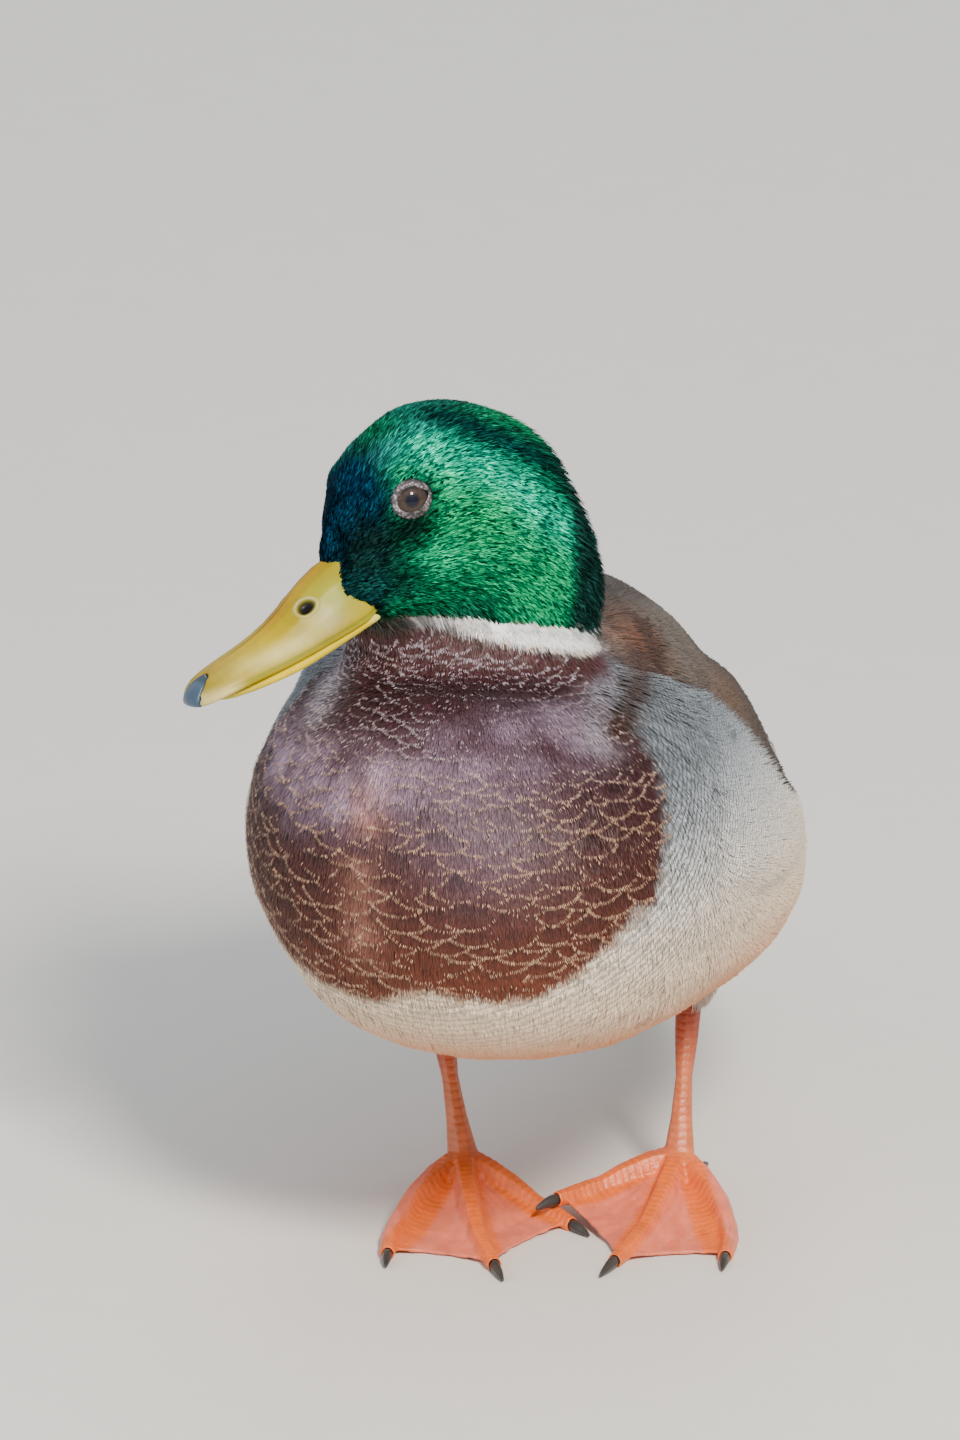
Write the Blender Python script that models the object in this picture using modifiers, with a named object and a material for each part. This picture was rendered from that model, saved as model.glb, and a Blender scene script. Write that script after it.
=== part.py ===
"""A drake mallard that stands at rest with its head turned to its right, at life size.

The bird faces -Y, its left side is +X and +Z is up. It stands on the floor z = 0 on the flats under
its toes. Every length below is in millimetres, and MM turns it into Blender's metres.
"""

from math import copysign, cos, pi, radians, sin

import bmesh
import bpy
from mathutils import Matrix, Vector

MM = 0.001
GAP = 0.36  # clearance that neighbouring pieces keep

SIDE = Vector((1, 0, 0))
RISE = Vector((0, 0, 1))

# Trunk, in slices across the body: how far back, middle height, half-width, reach up, reach down,
# and how blunt the back is (2 is round, less is a ridge).
MIDLINE_AT_BREAST, BREAST_BACK, MIDLINE_SWING = -7, -94, -0.052
TRUNK_SIDES = 12
BELLY_BLUNTNESS = 2.45
TRUNK_SLICES = [
    (-127, 136, 24, 25, 27, 2),
    (-116, 136, 44, 43, 46, 2),
    (-95, 134, 59, 57, 58, 2),
    (-65, 128, 68, 65, 64, 2),
    (-25, 116, 71, 77, 60, 1.95),
    (15, 102, 76, 79, 46, 1.6),
    (55, 94, 70, 68, 30, 1.4),
    (100, 96, 43, 38, 15, 1.45),
    (135, 97, 24, 15, 9, 2),
]
TRUNK_ENDS = (-131, 135), (151, 95)

# Neck, in level slices from the body up: middle across, middle along, height, half-width, front, back.
NECK_SLICES = [
    (-7, -66, 168, 42, 36, 34),
    (-9, -67, 184, 37, 31, 30),
    (-12, -70, 198, 32, 27, 27),
    (-17, -75, 212, 27, 23, 24),
]
NECK_ENDS = (-7, -66, 156), (-20, -78, 222)

# Head, set by a point in its middle and by how far it turns, bows and leans about it.
HEAD_PLACE = (-22.2, -77.6, 231.5)
HEAD_TURN, HEAD_BOW, HEAD_LEAN = -43.2, 15.1, -13
# Slices across the head: how far ahead, middle height, half-width, reach up, reach down.
HEAD_SLICES = [
    (31, -11, 7.5, 9, 11),
    (24.5, -12, 12.5, 20, 14),
    (14, -12, 20, 30.5, 20),
    (0, -13, 25, 38, 30),
    (-15, -15, 27.5, 39, 41),
    (-30, -18, 26, 32.5, 41),
    (-40, -24, 17, 20, 30),
]
HEAD_ENDS = (35.5, -11), (-47, -28)

# Bill, in the head's own frame: how far ahead, height of its edge, height of its ridge, half-width.
BILL_SLICES = [
    (26, -21.4, -3, 10.4),
    (36, -22.4, -3.4, 10.5),
    (46, -23, -8, 9.9),
    (55, -23.4, -12.6, 9.8),
    (64, -23, -14.8, 10.4),
    (72.5, -22.5, -15.9, 11.2),
    (80, -22.5, -17.5, 10.7),
    (84.6, -23.5, -20.2, 6.6),
]
BILL_ENDS = (22, -14), (86.8, -22.8)
BILL_SKIRT = 1.2  # the upper bill's rim, below the height of its edge
LOWER_BILL_SLICES = [
    (25, -25.2, 7.6, 1.9),
    (43, -26.2, 7.8, 2.1),
    (62, -26.2, 7.8, 1.9),
    (76, -25.2, 7.4, 1.3),
]
LOWER_BILL_ENDS = (20, -25), (81, -24.6)
NAIL_MIDDLE = (86, 0, -22)
NAIL_REACH = (9.5, 4.6, 9)

EYE_RADIUS = 6
EYE_AHEAD, EYE_ASIDE, EYE_UP = 10.5, 16.3, 6

# Wing, folded: along, aside from the midline, height, half-thickness, reach up, reach down, lean.
WING_SLICES = [
    (-80, 49, 146, 6, 14, 14, 18),
    (-50, 59, 141, 8, 30, 29, 22),
    (-5, 62, 132, 9.5, 36, 32, 27),
    (45, 55, 118, 9.5, 30, 24, 33),
    (90, 40, 109, 8, 19, 16, 36),
    (132, 23, 104, 4, 9, 7, 36),
]
WING_BLUNTNESS = 2.8
WING_ENDS = (-90, 44, 149), (150, 17, 101)

# Flight feathers that pass the wing's end: along, aside, height, half-width, half-thickness.
PRIMARY_SLICES = [
    (110, 21, 117.5, 6, 1.6),
    (130, 19, 113.5, 8, 1.7),
    (150, 17, 107, 7.5, 1.4),
    (165, 14.5, 100.5, 4.5, 1),
]
PRIMARY_ENDS = (102, 22, 118), (172, 13, 97.5)

# Tail fan: along, height, half-width, half-thickness.
TAIL_SLICES = [
    (118, 97, 19, 5),
    (140, 93, 23, 4.6),
    (165, 84, 26, 2.8),
    (193, 71, 27, 1.7),
    (215, 60, 23, 1.1),
    (224, 55.5, 13, 0.8),
]
TAIL_ENDS = (108, 98), (228, 53.5)

# Drake's curled feathers above the tail, one each side.
CURL_ROOT = (3.4, 146, 101)
CURL_RADIUS = 9
CURL_TURN = 285
CURL_STEPS = 12
CURL_TIGHTENS, CURL_NARROWS = 0.3, 0.55
CURL_RUNS_BACK, CURL_SPREADS = 9, 2
CURL_WIDTH, CURL_THICKNESS = 2.7, 0.7

# Legs, as points from the bird's standing point.
HANDS = {"left": 1, "right": -1}
FOOT_PLACE = {"left": (29, 8), "right": (-29, -8)}
FOOT_TURN = {"left": -4, "right": 24}
HOCK = {"left": (27, 26, 53), "right": (-41, 10, 52)}
KNUCKLE_HEIGHT = 11.6
# Shank: share of the way from hock to foot, half-width, half-depth.
SHANK_SLICES = [(-0.05, 4, 4.4), (0.25, 3.4, 3.9), (0.5, 2.4, 3.2), (0.76, 3.1, 3.3), (1, 4.6, 3.9)]
# Feathered thigh, from the hock: back, up, half-width.
THIGH_SLICES = [(0, 1.5, 5.2), (-2, 9, 9), (-4, 19, 13), (-6, 30, 13)]

# Toes: angle out from the foot's heading, length to the claw, sideways bow, claw length.
TOES = {
    "inner": (-42, 39, -3, 6.5),
    "middle": (0, 56, 1.5, 8.5),
    "outer": (33, 51, 6, 6.5),
}
# Toe slices: share of the length, height, radius.
TOE_SLICES = [(0, 11.6, 4.5), (0.3, 8.2, 3.5), (0.62, 3.1, 2.9), (0.88, 1.95, 2.75), (1, 1.75, 2.3)]
TOE_STEPS = (0, 0.2, 0.4, 0.6, 0.8, 1)
LIFTED_INNER = {"left": 5.2, "right": 0}  # one inner toe rests on the other foot's
HIND_TOE = [(1, 12.4, 2.9), (8, 8.4, 2.3), (14, 2.6, 1.9), (18.5, 1.4, 1.75)]
# Claws: share of the length, share of the thickness.
CLAW_SLICES = [(-0.25, 0.8), (0, 1), (0.4, 0.82), (0.75, 0.52), (1, 0.25)]
CLAW_RADIUS, CLAW_STARTS, CLAW_TIP_HEIGHT = 1.9, 1.2, 1
CLAW_NARROWER = 0.8
HIND_CLAW_BASE, HIND_CLAW_LENGTH, HIND_CLAW_RADIUS = (0, 20.5, 2), 5, 1.3
WEB_THICKNESS = 1.1
WEB_START, WEB_REACH, WEB_SCALLOP = 0.05, 0.94, 0.3
WEB_SAG = 2.4


def midline(back):
    """How far aside the middle of the body lies: its rear swings a little to the right."""
    return MIDLINE_AT_BREAST + MIDLINE_SWING * (back - BREAST_BACK)


# ---- making shapes -------------------------------------------------------------------------------

def place(*numbers):
    """A point given in millimetres, as a Vector in metres."""
    return Vector(numbers) * MM


def empty(name, location=(0, 0, 0), turn=None, parent=None):
    holder = bpy.data.objects.new(name, None)
    model.objects.link(holder)
    holder.parent = parent
    holder.matrix_local = Matrix.Translation(place(*location)) @ (turn or Matrix())
    return holder


def finish(name, colour, roughness):
    """A plain material; colour is given as linear red, green and blue."""
    material = bpy.data.materials.new(name)
    material.use_nodes = True
    shader = material.node_tree.nodes["Principled BSDF"]
    shader.inputs["Base Color"].default_value = (*colour, 1)
    shader.inputs["Roughness"].default_value = roughness
    shader.inputs["Metallic"].default_value = 0
    material.diffuse_color = (*colour, 1)
    return material


def added(name, form, material, parent, collection=None):
    """Puts a finished bmesh into the scene as a named, smooth-shaded object."""
    bmesh.ops.recalc_face_normals(form, faces=form.faces)
    mesh = bpy.data.meshes.new(name)
    form.to_mesh(mesh)
    form.free()
    mesh.shade_smooth()
    piece = bpy.data.objects.new(name, mesh)
    (collection or model).objects.link(piece)
    if material:
        mesh.materials.append(material)
    piece.parent = parent
    return piece


def rounded(piece, levels=1):
    step = piece.modifiers.new("Rounded", "SUBSURF")
    step.levels = levels
    step.render_levels = levels
    return piece


def oval(centre, width, up, down, sides, side=SIDE, rise=RISE, bluntness=2.0, levels=1):
    """A ring of points. It is drawn a little large where rounding will take some of it off."""
    swell = 3 / (2 + cos(2 * pi / sides)) if levels else 1
    points = []
    for k in range(sides):
        turn = 2 * pi * k / sides
        across = copysign(abs(cos(turn)) ** (2 / bluntness), cos(turn))
        along = copysign(abs(sin(turn)) ** (2 / bluntness), sin(turn))
        reach = up if along > 0 else down
        points.append(Vector(centre) + swell * (width * across * side + reach * along * rise))
    return points


def lofted(name, material, start, rings, end, parent, levels=1):
    """A closed, rounded form through rings of equal numbers of points, drawn to a point at each end."""
    form = bmesh.new()
    rows = [[form.verts.new(point * MM) for point in ring] for ring in rings]
    sides = len(rows[0])
    for near, far in zip(rows, rows[1:]):
        for k in range(sides):
            after = (k + 1) % sides
            form.faces.new((near[k], near[after], far[after], far[k]))
    for tip, row in ((start, rows[0]), (end, rows[-1])):
        pole = form.verts.new(Vector(tip) * MM)
        for k in range(sides):
            form.faces.new((row[k], row[(k + 1) % sides], pole))
    piece = added(name, form, material, parent)
    return rounded(piece, levels) if levels else piece


def limb(name, material, stations, parent, across=SIDE, sides=8, levels=1):
    """A loft along a bent line of stations, each a centre, a half-width and a half-depth."""
    centres = [Vector(station[0]) for station in stations]
    rings = []
    headings = []
    for k, (centre, width, depth) in enumerate(stations):
        ahead = centres[min(k + 1, len(centres) - 1)] - centres[max(k - 1, 0)]
        ahead.normalize()
        headings.append(ahead)
        side = (across - across.dot(ahead) * ahead).normalized()
        rise = side.cross(ahead)
        rings.append(oval(centre, width, depth, depth, sides, side, rise, levels=levels))
    start = centres[0] - headings[0] * stations[0][2] * 0.9
    end = centres[-1] + headings[-1] * stations[-1][2] * 0.9
    return lofted(name, material, start, rings, end, parent, levels)


def room_for(piece, uncut=True):
    """A hidden copy of a piece, grown by the gap, that cuts its seat in a neighbour."""
    copy = piece.copy()
    copy.name = piece.name + ".room"
    for step in list(copy.modifiers):
        if uncut and step.type == "BOOLEAN":
            copy.modifiers.remove(step)
    cutters.objects.link(copy)
    copy.hide_render = True
    copy.display_type = "WIRE"
    grow = copy.modifiers.new("Grown", "DISPLACE")
    grow.strength = GAP * MM
    grow.mid_level = 0
    return copy


def combine(piece, other, operation="DIFFERENCE"):
    step = piece.modifiers.new(operation.title() + " " + other.name, "BOOLEAN")
    step.operation = operation
    step.object = other


def joined_in(piece, other):
    """Makes other a part of piece, and hides it among the cutters."""
    model.objects.unlink(other)
    cutters.objects.link(other)
    other.hide_render = True
    other.display_type = "WIRE"
    combine(piece, other, "UNION")


# ---- the bird ------------------------------------------------------------------------------------

for old in list(bpy.data.objects):
    bpy.data.objects.remove(old)

model = bpy.data.collections.new("mallard_drake")
cutters = bpy.data.collections.new("cutters")
bpy.context.scene.collection.children.link(model)
bpy.context.scene.collection.children.link(cutters)

green_plumage = finish("green_plumage", (0.006, 0.18, 0.085), 0.4)
brown_plumage = finish("brown_plumage", (0.12, 0.045, 0.028), 0.7)
grey_plumage = finish("grey_plumage", (0.42, 0.4, 0.36), 0.75)
white_plumage = finish("white_plumage", (0.78, 0.78, 0.76), 0.75)
black_plumage = finish("black_plumage", (0.012, 0.016, 0.018), 0.5)
yellow_horn = finish("yellow_horn", (0.55, 0.46, 0.06), 0.4)
grey_horn = finish("grey_horn", (0.09, 0.1, 0.12), 0.4)
orange_skin = finish("orange_skin", (0.8, 0.2, 0.05), 0.45)
dark_eye = finish("dark_eye", (0.03, 0.018, 0.012), 0.08)

bird = empty("bird")


def trunk():
    rings = []
    for back, height, width, up, down, ridge in TRUNK_SLICES:
        middle = (midline(back), back, height)
        back_half = oval(middle, width, up, down, TRUNK_SIDES, bluntness=ridge)
        belly_half = oval(middle, width, up, down, TRUNK_SIDES, bluntness=BELLY_BLUNTNESS)
        sides = TRUNK_SIDES // 2 + 1
        rings.append(back_half[:sides] + belly_half[sides:])
    ends = [(midline(back), back, height) for back, height in TRUNK_ENDS]
    return lofted("trunk", grey_plumage, ends[0], rings, ends[1], bird)


def neck():
    ahead = Vector((0, -1, 0))
    rings = []
    for x, y, height, width, front, back in NECK_SLICES:
        rings.append(oval((x, y, height), width, front, back, 8, rise=ahead))
    return lofted("neck", white_plumage, NECK_ENDS[0], rings, NECK_ENDS[1], bird)


def head():
    """The feathered head, round behind the cheeks and narrow at the bill."""
    rings = []
    for ahead, height, width, up, down in HEAD_SLICES:
        rings.append(oval((0, -ahead, height), width, up, down, 12, bluntness=2.15))
    ends = [(0, -ahead, height) for ahead, height in HEAD_ENDS]
    return lofted("head", green_plumage, ends[0], rings, ends[1], skull)


def upper_bill():
    """A high arch at the face that flattens into a spoon, with its rim turned down a little."""
    rings = []
    for ahead, edge, ridge, width in BILL_SLICES:
        middle = (0, -ahead, edge)
        rings.append(oval(middle, width, ridge - edge, BILL_SKIRT, 8, bluntness=2.3))
    ends = [(0, -ahead, height) for ahead, height in BILL_ENDS]
    return lofted("bill_upper", yellow_horn, ends[0], rings, ends[1], skull)


def lower_bill():
    rings = []
    for ahead, height, width, depth in LOWER_BILL_SLICES:
        rings.append(oval((0, -ahead, height), width, depth, depth, 6, bluntness=2.4))
    ends = [(0, -ahead, height) for ahead, height in LOWER_BILL_ENDS]
    return lofted("bill_lower", yellow_horn, ends[0], rings, ends[1], skull)


def ball(name, material, parent, centre, reach, collection=None):
    """A ball or egg with its middle at centre and a half-size along each axis."""
    form = bmesh.new()
    bmesh.ops.create_uvsphere(form, u_segments=12, v_segments=8, radius=1)
    bmesh.ops.scale(form, vec=Vector(reach) * MM, verts=form.verts)
    bmesh.ops.translate(form, vec=Vector(centre) * MM, verts=form.verts)
    return added(name, form, material, parent, collection)


def bill_nail(bill):
    """The hard tip of the upper bill, parted from it by an egg-shaped cut."""
    ahead, aside, height = NAIL_MIDDLE
    long, wide, high = NAIL_REACH
    egg = ball("nail_shape", None, skull, (aside, -ahead, height), (wide, long, high), cutters)
    egg.hide_render = True
    egg.display_type = "WIRE"
    nail = bill.copy()
    nail.data = bill.data.copy()
    nail.name = "bill_nail"
    nail.data.materials.clear()
    nail.data.materials.append(grey_horn)
    model.objects.link(nail)
    combine(nail, egg, "INTERSECT")
    combine(bill, room_for(egg))


def eye(hand, sign):
    middle = (sign * EYE_ASIDE, -EYE_AHEAD, EYE_UP)
    return ball("eye_" + hand, dark_eye, skull, middle, (EYE_RADIUS,) * 3)


def wing(hand, sign):
    rings = []
    for back, aside, height, thick, up, down, lean in WING_SLICES:
        lean = radians(lean)
        side = Vector((sign * cos(lean), 0, sin(lean)))
        rise = Vector((-sign * sin(lean), 0, cos(lean)))
        middle = (midline(back) + sign * aside, back, height)
        rings.append(oval(middle, thick, up, down, 8, side, rise, WING_BLUNTNESS))
    ends = [(midline(back) + sign * aside, back, height) for back, aside, height in WING_ENDS]
    return lofted("wing_" + hand, grey_plumage, ends[0], rings, ends[1], bird)


def primaries(hand, sign):
    rings = []
    for back, aside, height, width, thick in PRIMARY_SLICES:
        middle = (midline(back) + sign * aside, back, height)
        rings.append(oval(middle, width, thick, thick, 8, levels=0))
    ends = [(midline(back) + sign * aside, back, height) for back, aside, height in PRIMARY_ENDS]
    return lofted("primaries_" + hand, brown_plumage, ends[0], rings, ends[1], bird, 0)


def tail():
    rings = []
    for back, height, width, thick in TAIL_SLICES:
        rings.append(oval((midline(back), back, height), width, thick, thick, 14, levels=0))
    ends = [(midline(back), back, height) for back, height in TAIL_ENDS]
    return lofted("tail", white_plumage, ends[0], rings, ends[1], bird, 0)


def tail_curl(hand, sign):
    """A black feather that rises from the rump and curls forward over itself."""
    aside, back, height = CURL_ROOT
    stations = []
    for k in range(CURL_STEPS + 1):
        share = k / CURL_STEPS
        turn = radians(CURL_TURN) * share
        radius = CURL_RADIUS * (1 - CURL_TIGHTENS * share)
        x = midline(back) + sign * (aside + CURL_SPREADS * share)
        y = back + radius * sin(turn) + CURL_RUNS_BACK * share * (1 - share)
        z = height + CURL_RADIUS - radius * cos(turn)
        stations.append(((x, y, z), CURL_WIDTH * (1 - CURL_NARROWS * share), CURL_THICKNESS))
    return limb("tail_curl_" + hand, black_plumage, stations, bird, sides=6, levels=0)


def leg(hand):
    """The bare shank, and the feathered thigh that it comes out of."""
    x, y, z = HOCK[hand]
    foot_x, foot_y = FOOT_PLACE[hand]
    hock, joint = Vector((x, y, z)), Vector((foot_x, foot_y, KNUCKLE_HEIGHT + 1.5))
    stations = [(hock.lerp(joint, share), width, depth) for share, width, depth in SHANK_SLICES]
    shank = limb("shank_" + hand, orange_skin, stations, bird, levels=0)
    stations = [(hock + Vector((0, back, up)), size, size) for back, up, size in THIGH_SLICES]
    thigh = limb("thigh_" + hand, grey_plumage, stations, bird, sides=10, levels=0)
    combine(thigh, room_for(shank))
    return shank, thigh


def toe_point(hand, toe, share):
    """A point on a toe's axis, and its radius there, in the foot's own frame."""
    angle, length, bow, claw = TOES[toe]
    outward = HANDS[hand]
    heading = radians(angle) * outward
    low = max(k for k in range(len(TOE_SLICES) - 1) if TOE_SLICES[k][0] <= share)
    (start, z0, r0), (end, z1, r1) = TOE_SLICES[low], TOE_SLICES[low + 1]
    part = (share - start) / (end - start)
    along = Vector((sin(heading), -cos(heading), 0))
    aside = Vector((cos(heading), sin(heading), 0)) * outward
    point = along * length * share + aside * bow * 4 * share * (1 - share)
    lift = LIFTED_INNER[hand] * share ** 0.7 if toe == "inner" else 0
    point.z = z0 + (z1 - z0) * part + lift
    return point, r0 + (r1 - r0) * part


def claw(name, base, heading, length, radius, frame, tip_height=CLAW_TIP_HEIGHT):
    """A horn that tapers and bends down."""
    drop = base.z - tip_height
    stations = []
    for share, size in CLAW_SLICES:
        point = base + heading * length * share
        point.z -= drop * share * abs(share)
        stations.append((point, radius * size * CLAW_NARROWER, radius * size))
    across = Vector((-heading.y, heading.x, 0))
    return limb(name, grey_horn, stations, frame, across=across, sides=6, levels=0)


def web(hand, first, second, frame):
    """The skin between two toes, with a hollow front edge."""
    form = bmesh.new()
    bmesh.ops.create_grid(form, x_segments=3, y_segments=4, size=0.5)
    for vert in form.verts:
        between = vert.co.x + 0.5
        out = vert.co.y + 0.5
        reach = WEB_REACH - WEB_SCALLOP * between * (1 - between)
        share = WEB_START + (reach - WEB_START) * out
        start = toe_point(hand, first, share)[0]
        end = toe_point(hand, second, share)[0]
        spot = start.lerp(end, between)
        hollow = 4 * between * (1 - between) * (0.4 + 0.6 * out)
        spot.z = max(spot.z - WEB_SAG * hollow, WEB_THICKNESS * 0.75)
        vert.co = spot * MM
    sheet = added("web_" + first + "_" + hand, form, None, frame)
    skin = sheet.modifiers.new("Thickness", "SOLIDIFY")
    skin.thickness = WEB_THICKNESS * MM
    skin.offset = 0
    return sheet


def foot(hand):
    """Three toes and a hind toe, joined by the webs, flat under what touches the floor."""
    x, y = FOOT_PLACE[hand]
    turn = Matrix.Rotation(radians(FOOT_TURN[hand]), 4, "Z")
    frame = empty("foot_frame_" + hand, (x, y, 0), turn, bird)
    toes = []
    claws = []
    for toe, (angle, length, bow, claw_length) in TOES.items():
        spots = [toe_point(hand, toe, share) for share in TOE_STEPS]
        stations = [(point, radius, radius) for point, radius in spots]
        heading = radians(angle) * HANDS[hand]
        across = Vector((cos(heading), sin(heading), 0))
        name = "toe_" + toe + "_" + hand
        toes.append(limb(name, orange_skin, stations, frame, across=across, sides=6, levels=0))
        tip, before = stations[-1][0], stations[-2][0]
        ahead = Vector((tip.x - before.x, tip.y - before.y, 0)).normalized()
        name = "claw_" + toe + "_" + hand
        low = CLAW_TIP_HEIGHT + (LIFTED_INNER[hand] if toe == "inner" else 0)
        base = tip + ahead * CLAW_STARTS
        claws.append(claw(name, base, ahead, claw_length, CLAW_RADIUS, frame, low))
    stations = [((0, along, height), radius, radius) for along, height, radius in HIND_TOE]
    hind = limb("toe_hind_" + hand, orange_skin, stations, frame, sides=6, levels=0)
    base, back = Vector(HIND_CLAW_BASE), Vector((0, 1, 0))
    name = "claw_hind_" + hand
    claws.append(claw(name, base, back, HIND_CLAW_LENGTH, HIND_CLAW_RADIUS, frame))

    whole = toes[1]
    whole.name = "foot_" + hand
    inner_web = web(hand, "inner", "middle", frame)
    outer_web = web(hand, "middle", "outer", frame)
    for other in (toes[0], toes[2], hind, inner_web, outer_web):
        joined_in(whole, other)
    combine(whole, floor_cut)
    for horn in claws:
        combine(whole, room_for(horn))
    return whole


skull_turn = (
    Matrix.Rotation(radians(HEAD_TURN), 4, "Z")
    @ Matrix.Rotation(radians(HEAD_BOW), 4, "X")
    @ Matrix.Rotation(radians(HEAD_LEAN), 4, "Y")
)
skull = empty("skull", HEAD_PLACE, skull_turn, bird)

form = bmesh.new()
bmesh.ops.create_cube(form, size=0.4)
floor_cut = added("floor_cut", form, None, bird, cutters)
floor_cut.location.z = -0.2
floor_cut.hide_render = True
floor_cut.display_type = "WIRE"

body, throat, face = trunk(), neck(), head()
bill, jaw = upper_bill(), lower_bill()
eyes = [eye(hand, sign) for hand, sign in HANDS.items()]
for solid in (bill, jaw, *eyes):
    combine(face, room_for(solid))
combine(jaw, room_for(bill))
for solid in (face, jaw):
    combine(throat, room_for(solid))
bill_nail(bill)

wings = [wing(hand, sign) for hand, sign in HANDS.items()]
long_feathers = [primaries(hand, sign) for hand, sign in HANDS.items()]
fan = tail()
curls = [tail_curl(hand, sign) for hand, sign in HANDS.items()]
for hand in HANDS:
    shank, thigh = leg(hand)
    combine(body, room_for(thigh))
    combine(shank, room_for(foot(hand), uncut=False))
for solid in (face, throat, *wings, *long_feathers, fan, *curls):
    combine(body, room_for(solid))
for blade, side_wing in zip(long_feathers, wings):
    combine(side_wing, room_for(blade))


def stand_centred():
    """Moves the whole bird so that the middle of its box is over the origin."""
    bpy.context.view_layer.update()
    graph = bpy.context.evaluated_depsgraph_get()
    corners = []
    for piece in model.objects:
        if piece.type == "MESH":
            shape = piece.evaluated_get(graph)
            corners += [shape.matrix_world @ Vector(corner) for corner in shape.bound_box]
    for axis in (0, 1):
        along = [corner[axis] for corner in corners]
        bird.location[axis] = -(min(along) + max(along)) / 2


stand_centred()
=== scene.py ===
"""A drake mallard as a museum shows it: life size, standing at rest with its head turned aside.

The bird faces -Y, its left side is +X and +Z is up. Sizes are in millimetres and MM turns them
into Blender's metres.
"""
from math import cos, pi, radians, sin

import bmesh
import bpy
import numpy as np
from mathutils import Matrix, Vector
from mathutils.bvhtree import BVHTree


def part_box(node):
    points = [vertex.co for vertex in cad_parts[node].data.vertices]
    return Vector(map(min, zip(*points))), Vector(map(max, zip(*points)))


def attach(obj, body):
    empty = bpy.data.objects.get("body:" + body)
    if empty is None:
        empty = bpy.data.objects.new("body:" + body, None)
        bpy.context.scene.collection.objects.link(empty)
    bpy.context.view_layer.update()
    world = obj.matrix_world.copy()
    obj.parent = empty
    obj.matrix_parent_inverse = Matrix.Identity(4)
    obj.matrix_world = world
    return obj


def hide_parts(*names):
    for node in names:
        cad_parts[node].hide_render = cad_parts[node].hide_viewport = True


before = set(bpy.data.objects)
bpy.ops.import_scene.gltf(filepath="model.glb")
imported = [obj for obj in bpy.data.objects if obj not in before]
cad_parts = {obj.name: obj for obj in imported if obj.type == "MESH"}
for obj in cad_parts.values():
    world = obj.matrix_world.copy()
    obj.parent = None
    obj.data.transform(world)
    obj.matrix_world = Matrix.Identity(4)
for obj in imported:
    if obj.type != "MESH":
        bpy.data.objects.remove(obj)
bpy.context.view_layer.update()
MM = 0.001


# ---- Skin ----------------------------------------------------------------------------------------
# The body under the feathers: one unbroken skin from the bill's root to the vent and over the
# folded wings. It lies deeper than the coat by the feathers' depth, and carries the same markings.

FLESH = ["trunk", "neck", "head", "wing_left", "wing_right", "thigh_left", "thigh_right"]
SKIN_GRAIN = 1.9  # size of the skin's faces
SKIN_JOINS = 0.6  # how far each solid is grown, so that all become one
COAT_DEPTH = {"trunk": 2.2, "neck": 2.4, "head": 1.3, "wing": 2.2, "thigh": 1.6}

HEAD_TURN, HEAD_BOW, HEAD_LEAN = -43.2, 15.1, -13
EYE_AHEAD, EYE_UP = 10.5, 6
EYE_ASIDE = (20, 21)  # how far aside an eye sits in its socket, and its front
BROW_SWELL, BROW_SPREAD = 2.3, 14  # how the head rises round the eyes
SOCKET_DEPTH = 1.5
MIDLINE_FRONT = (4.7, -135.4)  # aside, along: the body's middle at its front
REAR_SWING = 0.052  # how far aside the rear goes for each millimetre back
# Where feathers fill the form out or lie flatter: a route, how wide it is and how far it rises.
# The head's are ahead, aside, up in its own frame; the body's are aside, along, up.
HEAD_FORM = [
    ([(31, 0, -5), (24, 0, 6), (13, 0, 17), (0, 0, 20)], 10, 1.7),
    ([(21, 12, 4), (17, 14, 11), (9, 15, 16)], 6.5, 2.3),
    ([(29, 0, -1), (25, 0, 6)], 6, 1.5),
    ([(-42, 10, -16), (-42, 10, -52)], 13, -3.8),
    ([(28.6, 4.2, 0.4), (30.5, 4.6, -2), (32.5, 5.4, -5)], 2.1, -3.6),
]
BODY_FORM = [
    ([(16, -56, 171), (18, 18, 150)], 28, 4.9),
    ([(58, -10, 124), (57, 22, 115)], 14, -2.4),
    ([(-50, -122, 97), (-42, -100, 80)], 18, -2.4),
    ([(66, -15, 82), (62, -40, 78)], 16, 1.6),
]
# The face's feathers end on the bill at these planes: ahead and up of a point, and how much each
# plane's normal leans up.
FACE_EDGE = [(35.2, 0, 0), (35, -13, -1.03), (28.2, 0, 0.58)]
FACE_RISE = 0.7  # how far the face stands over the bill there
LID_REACH = 5.6  # no feathers grow this near an eye's middle


def middle(node):
    low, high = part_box(node)
    return (Vector(low) + Vector(high)) / (2 * MM)


# The head's own frame: ahead is along the bill, left is the bird's left, up is the crown.
skull = (
    Matrix.Rotation(radians(HEAD_TURN), 3, "Z")
    @ Matrix.Rotation(radians(HEAD_BOW), 3, "X")
    @ Matrix.Rotation(radians(HEAD_LEAN), 3, "Y")
)
HEAD_LEFT, HEAD_AHEAD, HEAD_UP = skull.col[0], -skull.col[1], skull.col[2]
between_eyes = (middle("eye_left") + middle("eye_right")) / 2
head_middle = between_eyes - HEAD_AHEAD * EYE_AHEAD - HEAD_UP * EYE_UP


def in_head(points):
    """Points of the world, given ahead, aside (left is plus) and up in the head's own frame."""
    away = np.asarray(points) - np.array(head_middle)
    return away @ np.array([HEAD_AHEAD, HEAD_LEFT, HEAD_UP]).T


def from_head(ahead, aside, up):
    return head_middle + HEAD_AHEAD * ahead + HEAD_LEFT * aside + HEAD_UP * up


def copy_of(node):
    part = bmesh.new()
    part.from_mesh(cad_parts[node].data)
    bmesh.ops.remove_doubles(part, verts=part.verts, dist=1e-6)
    part.normal_update()
    return part


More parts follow.
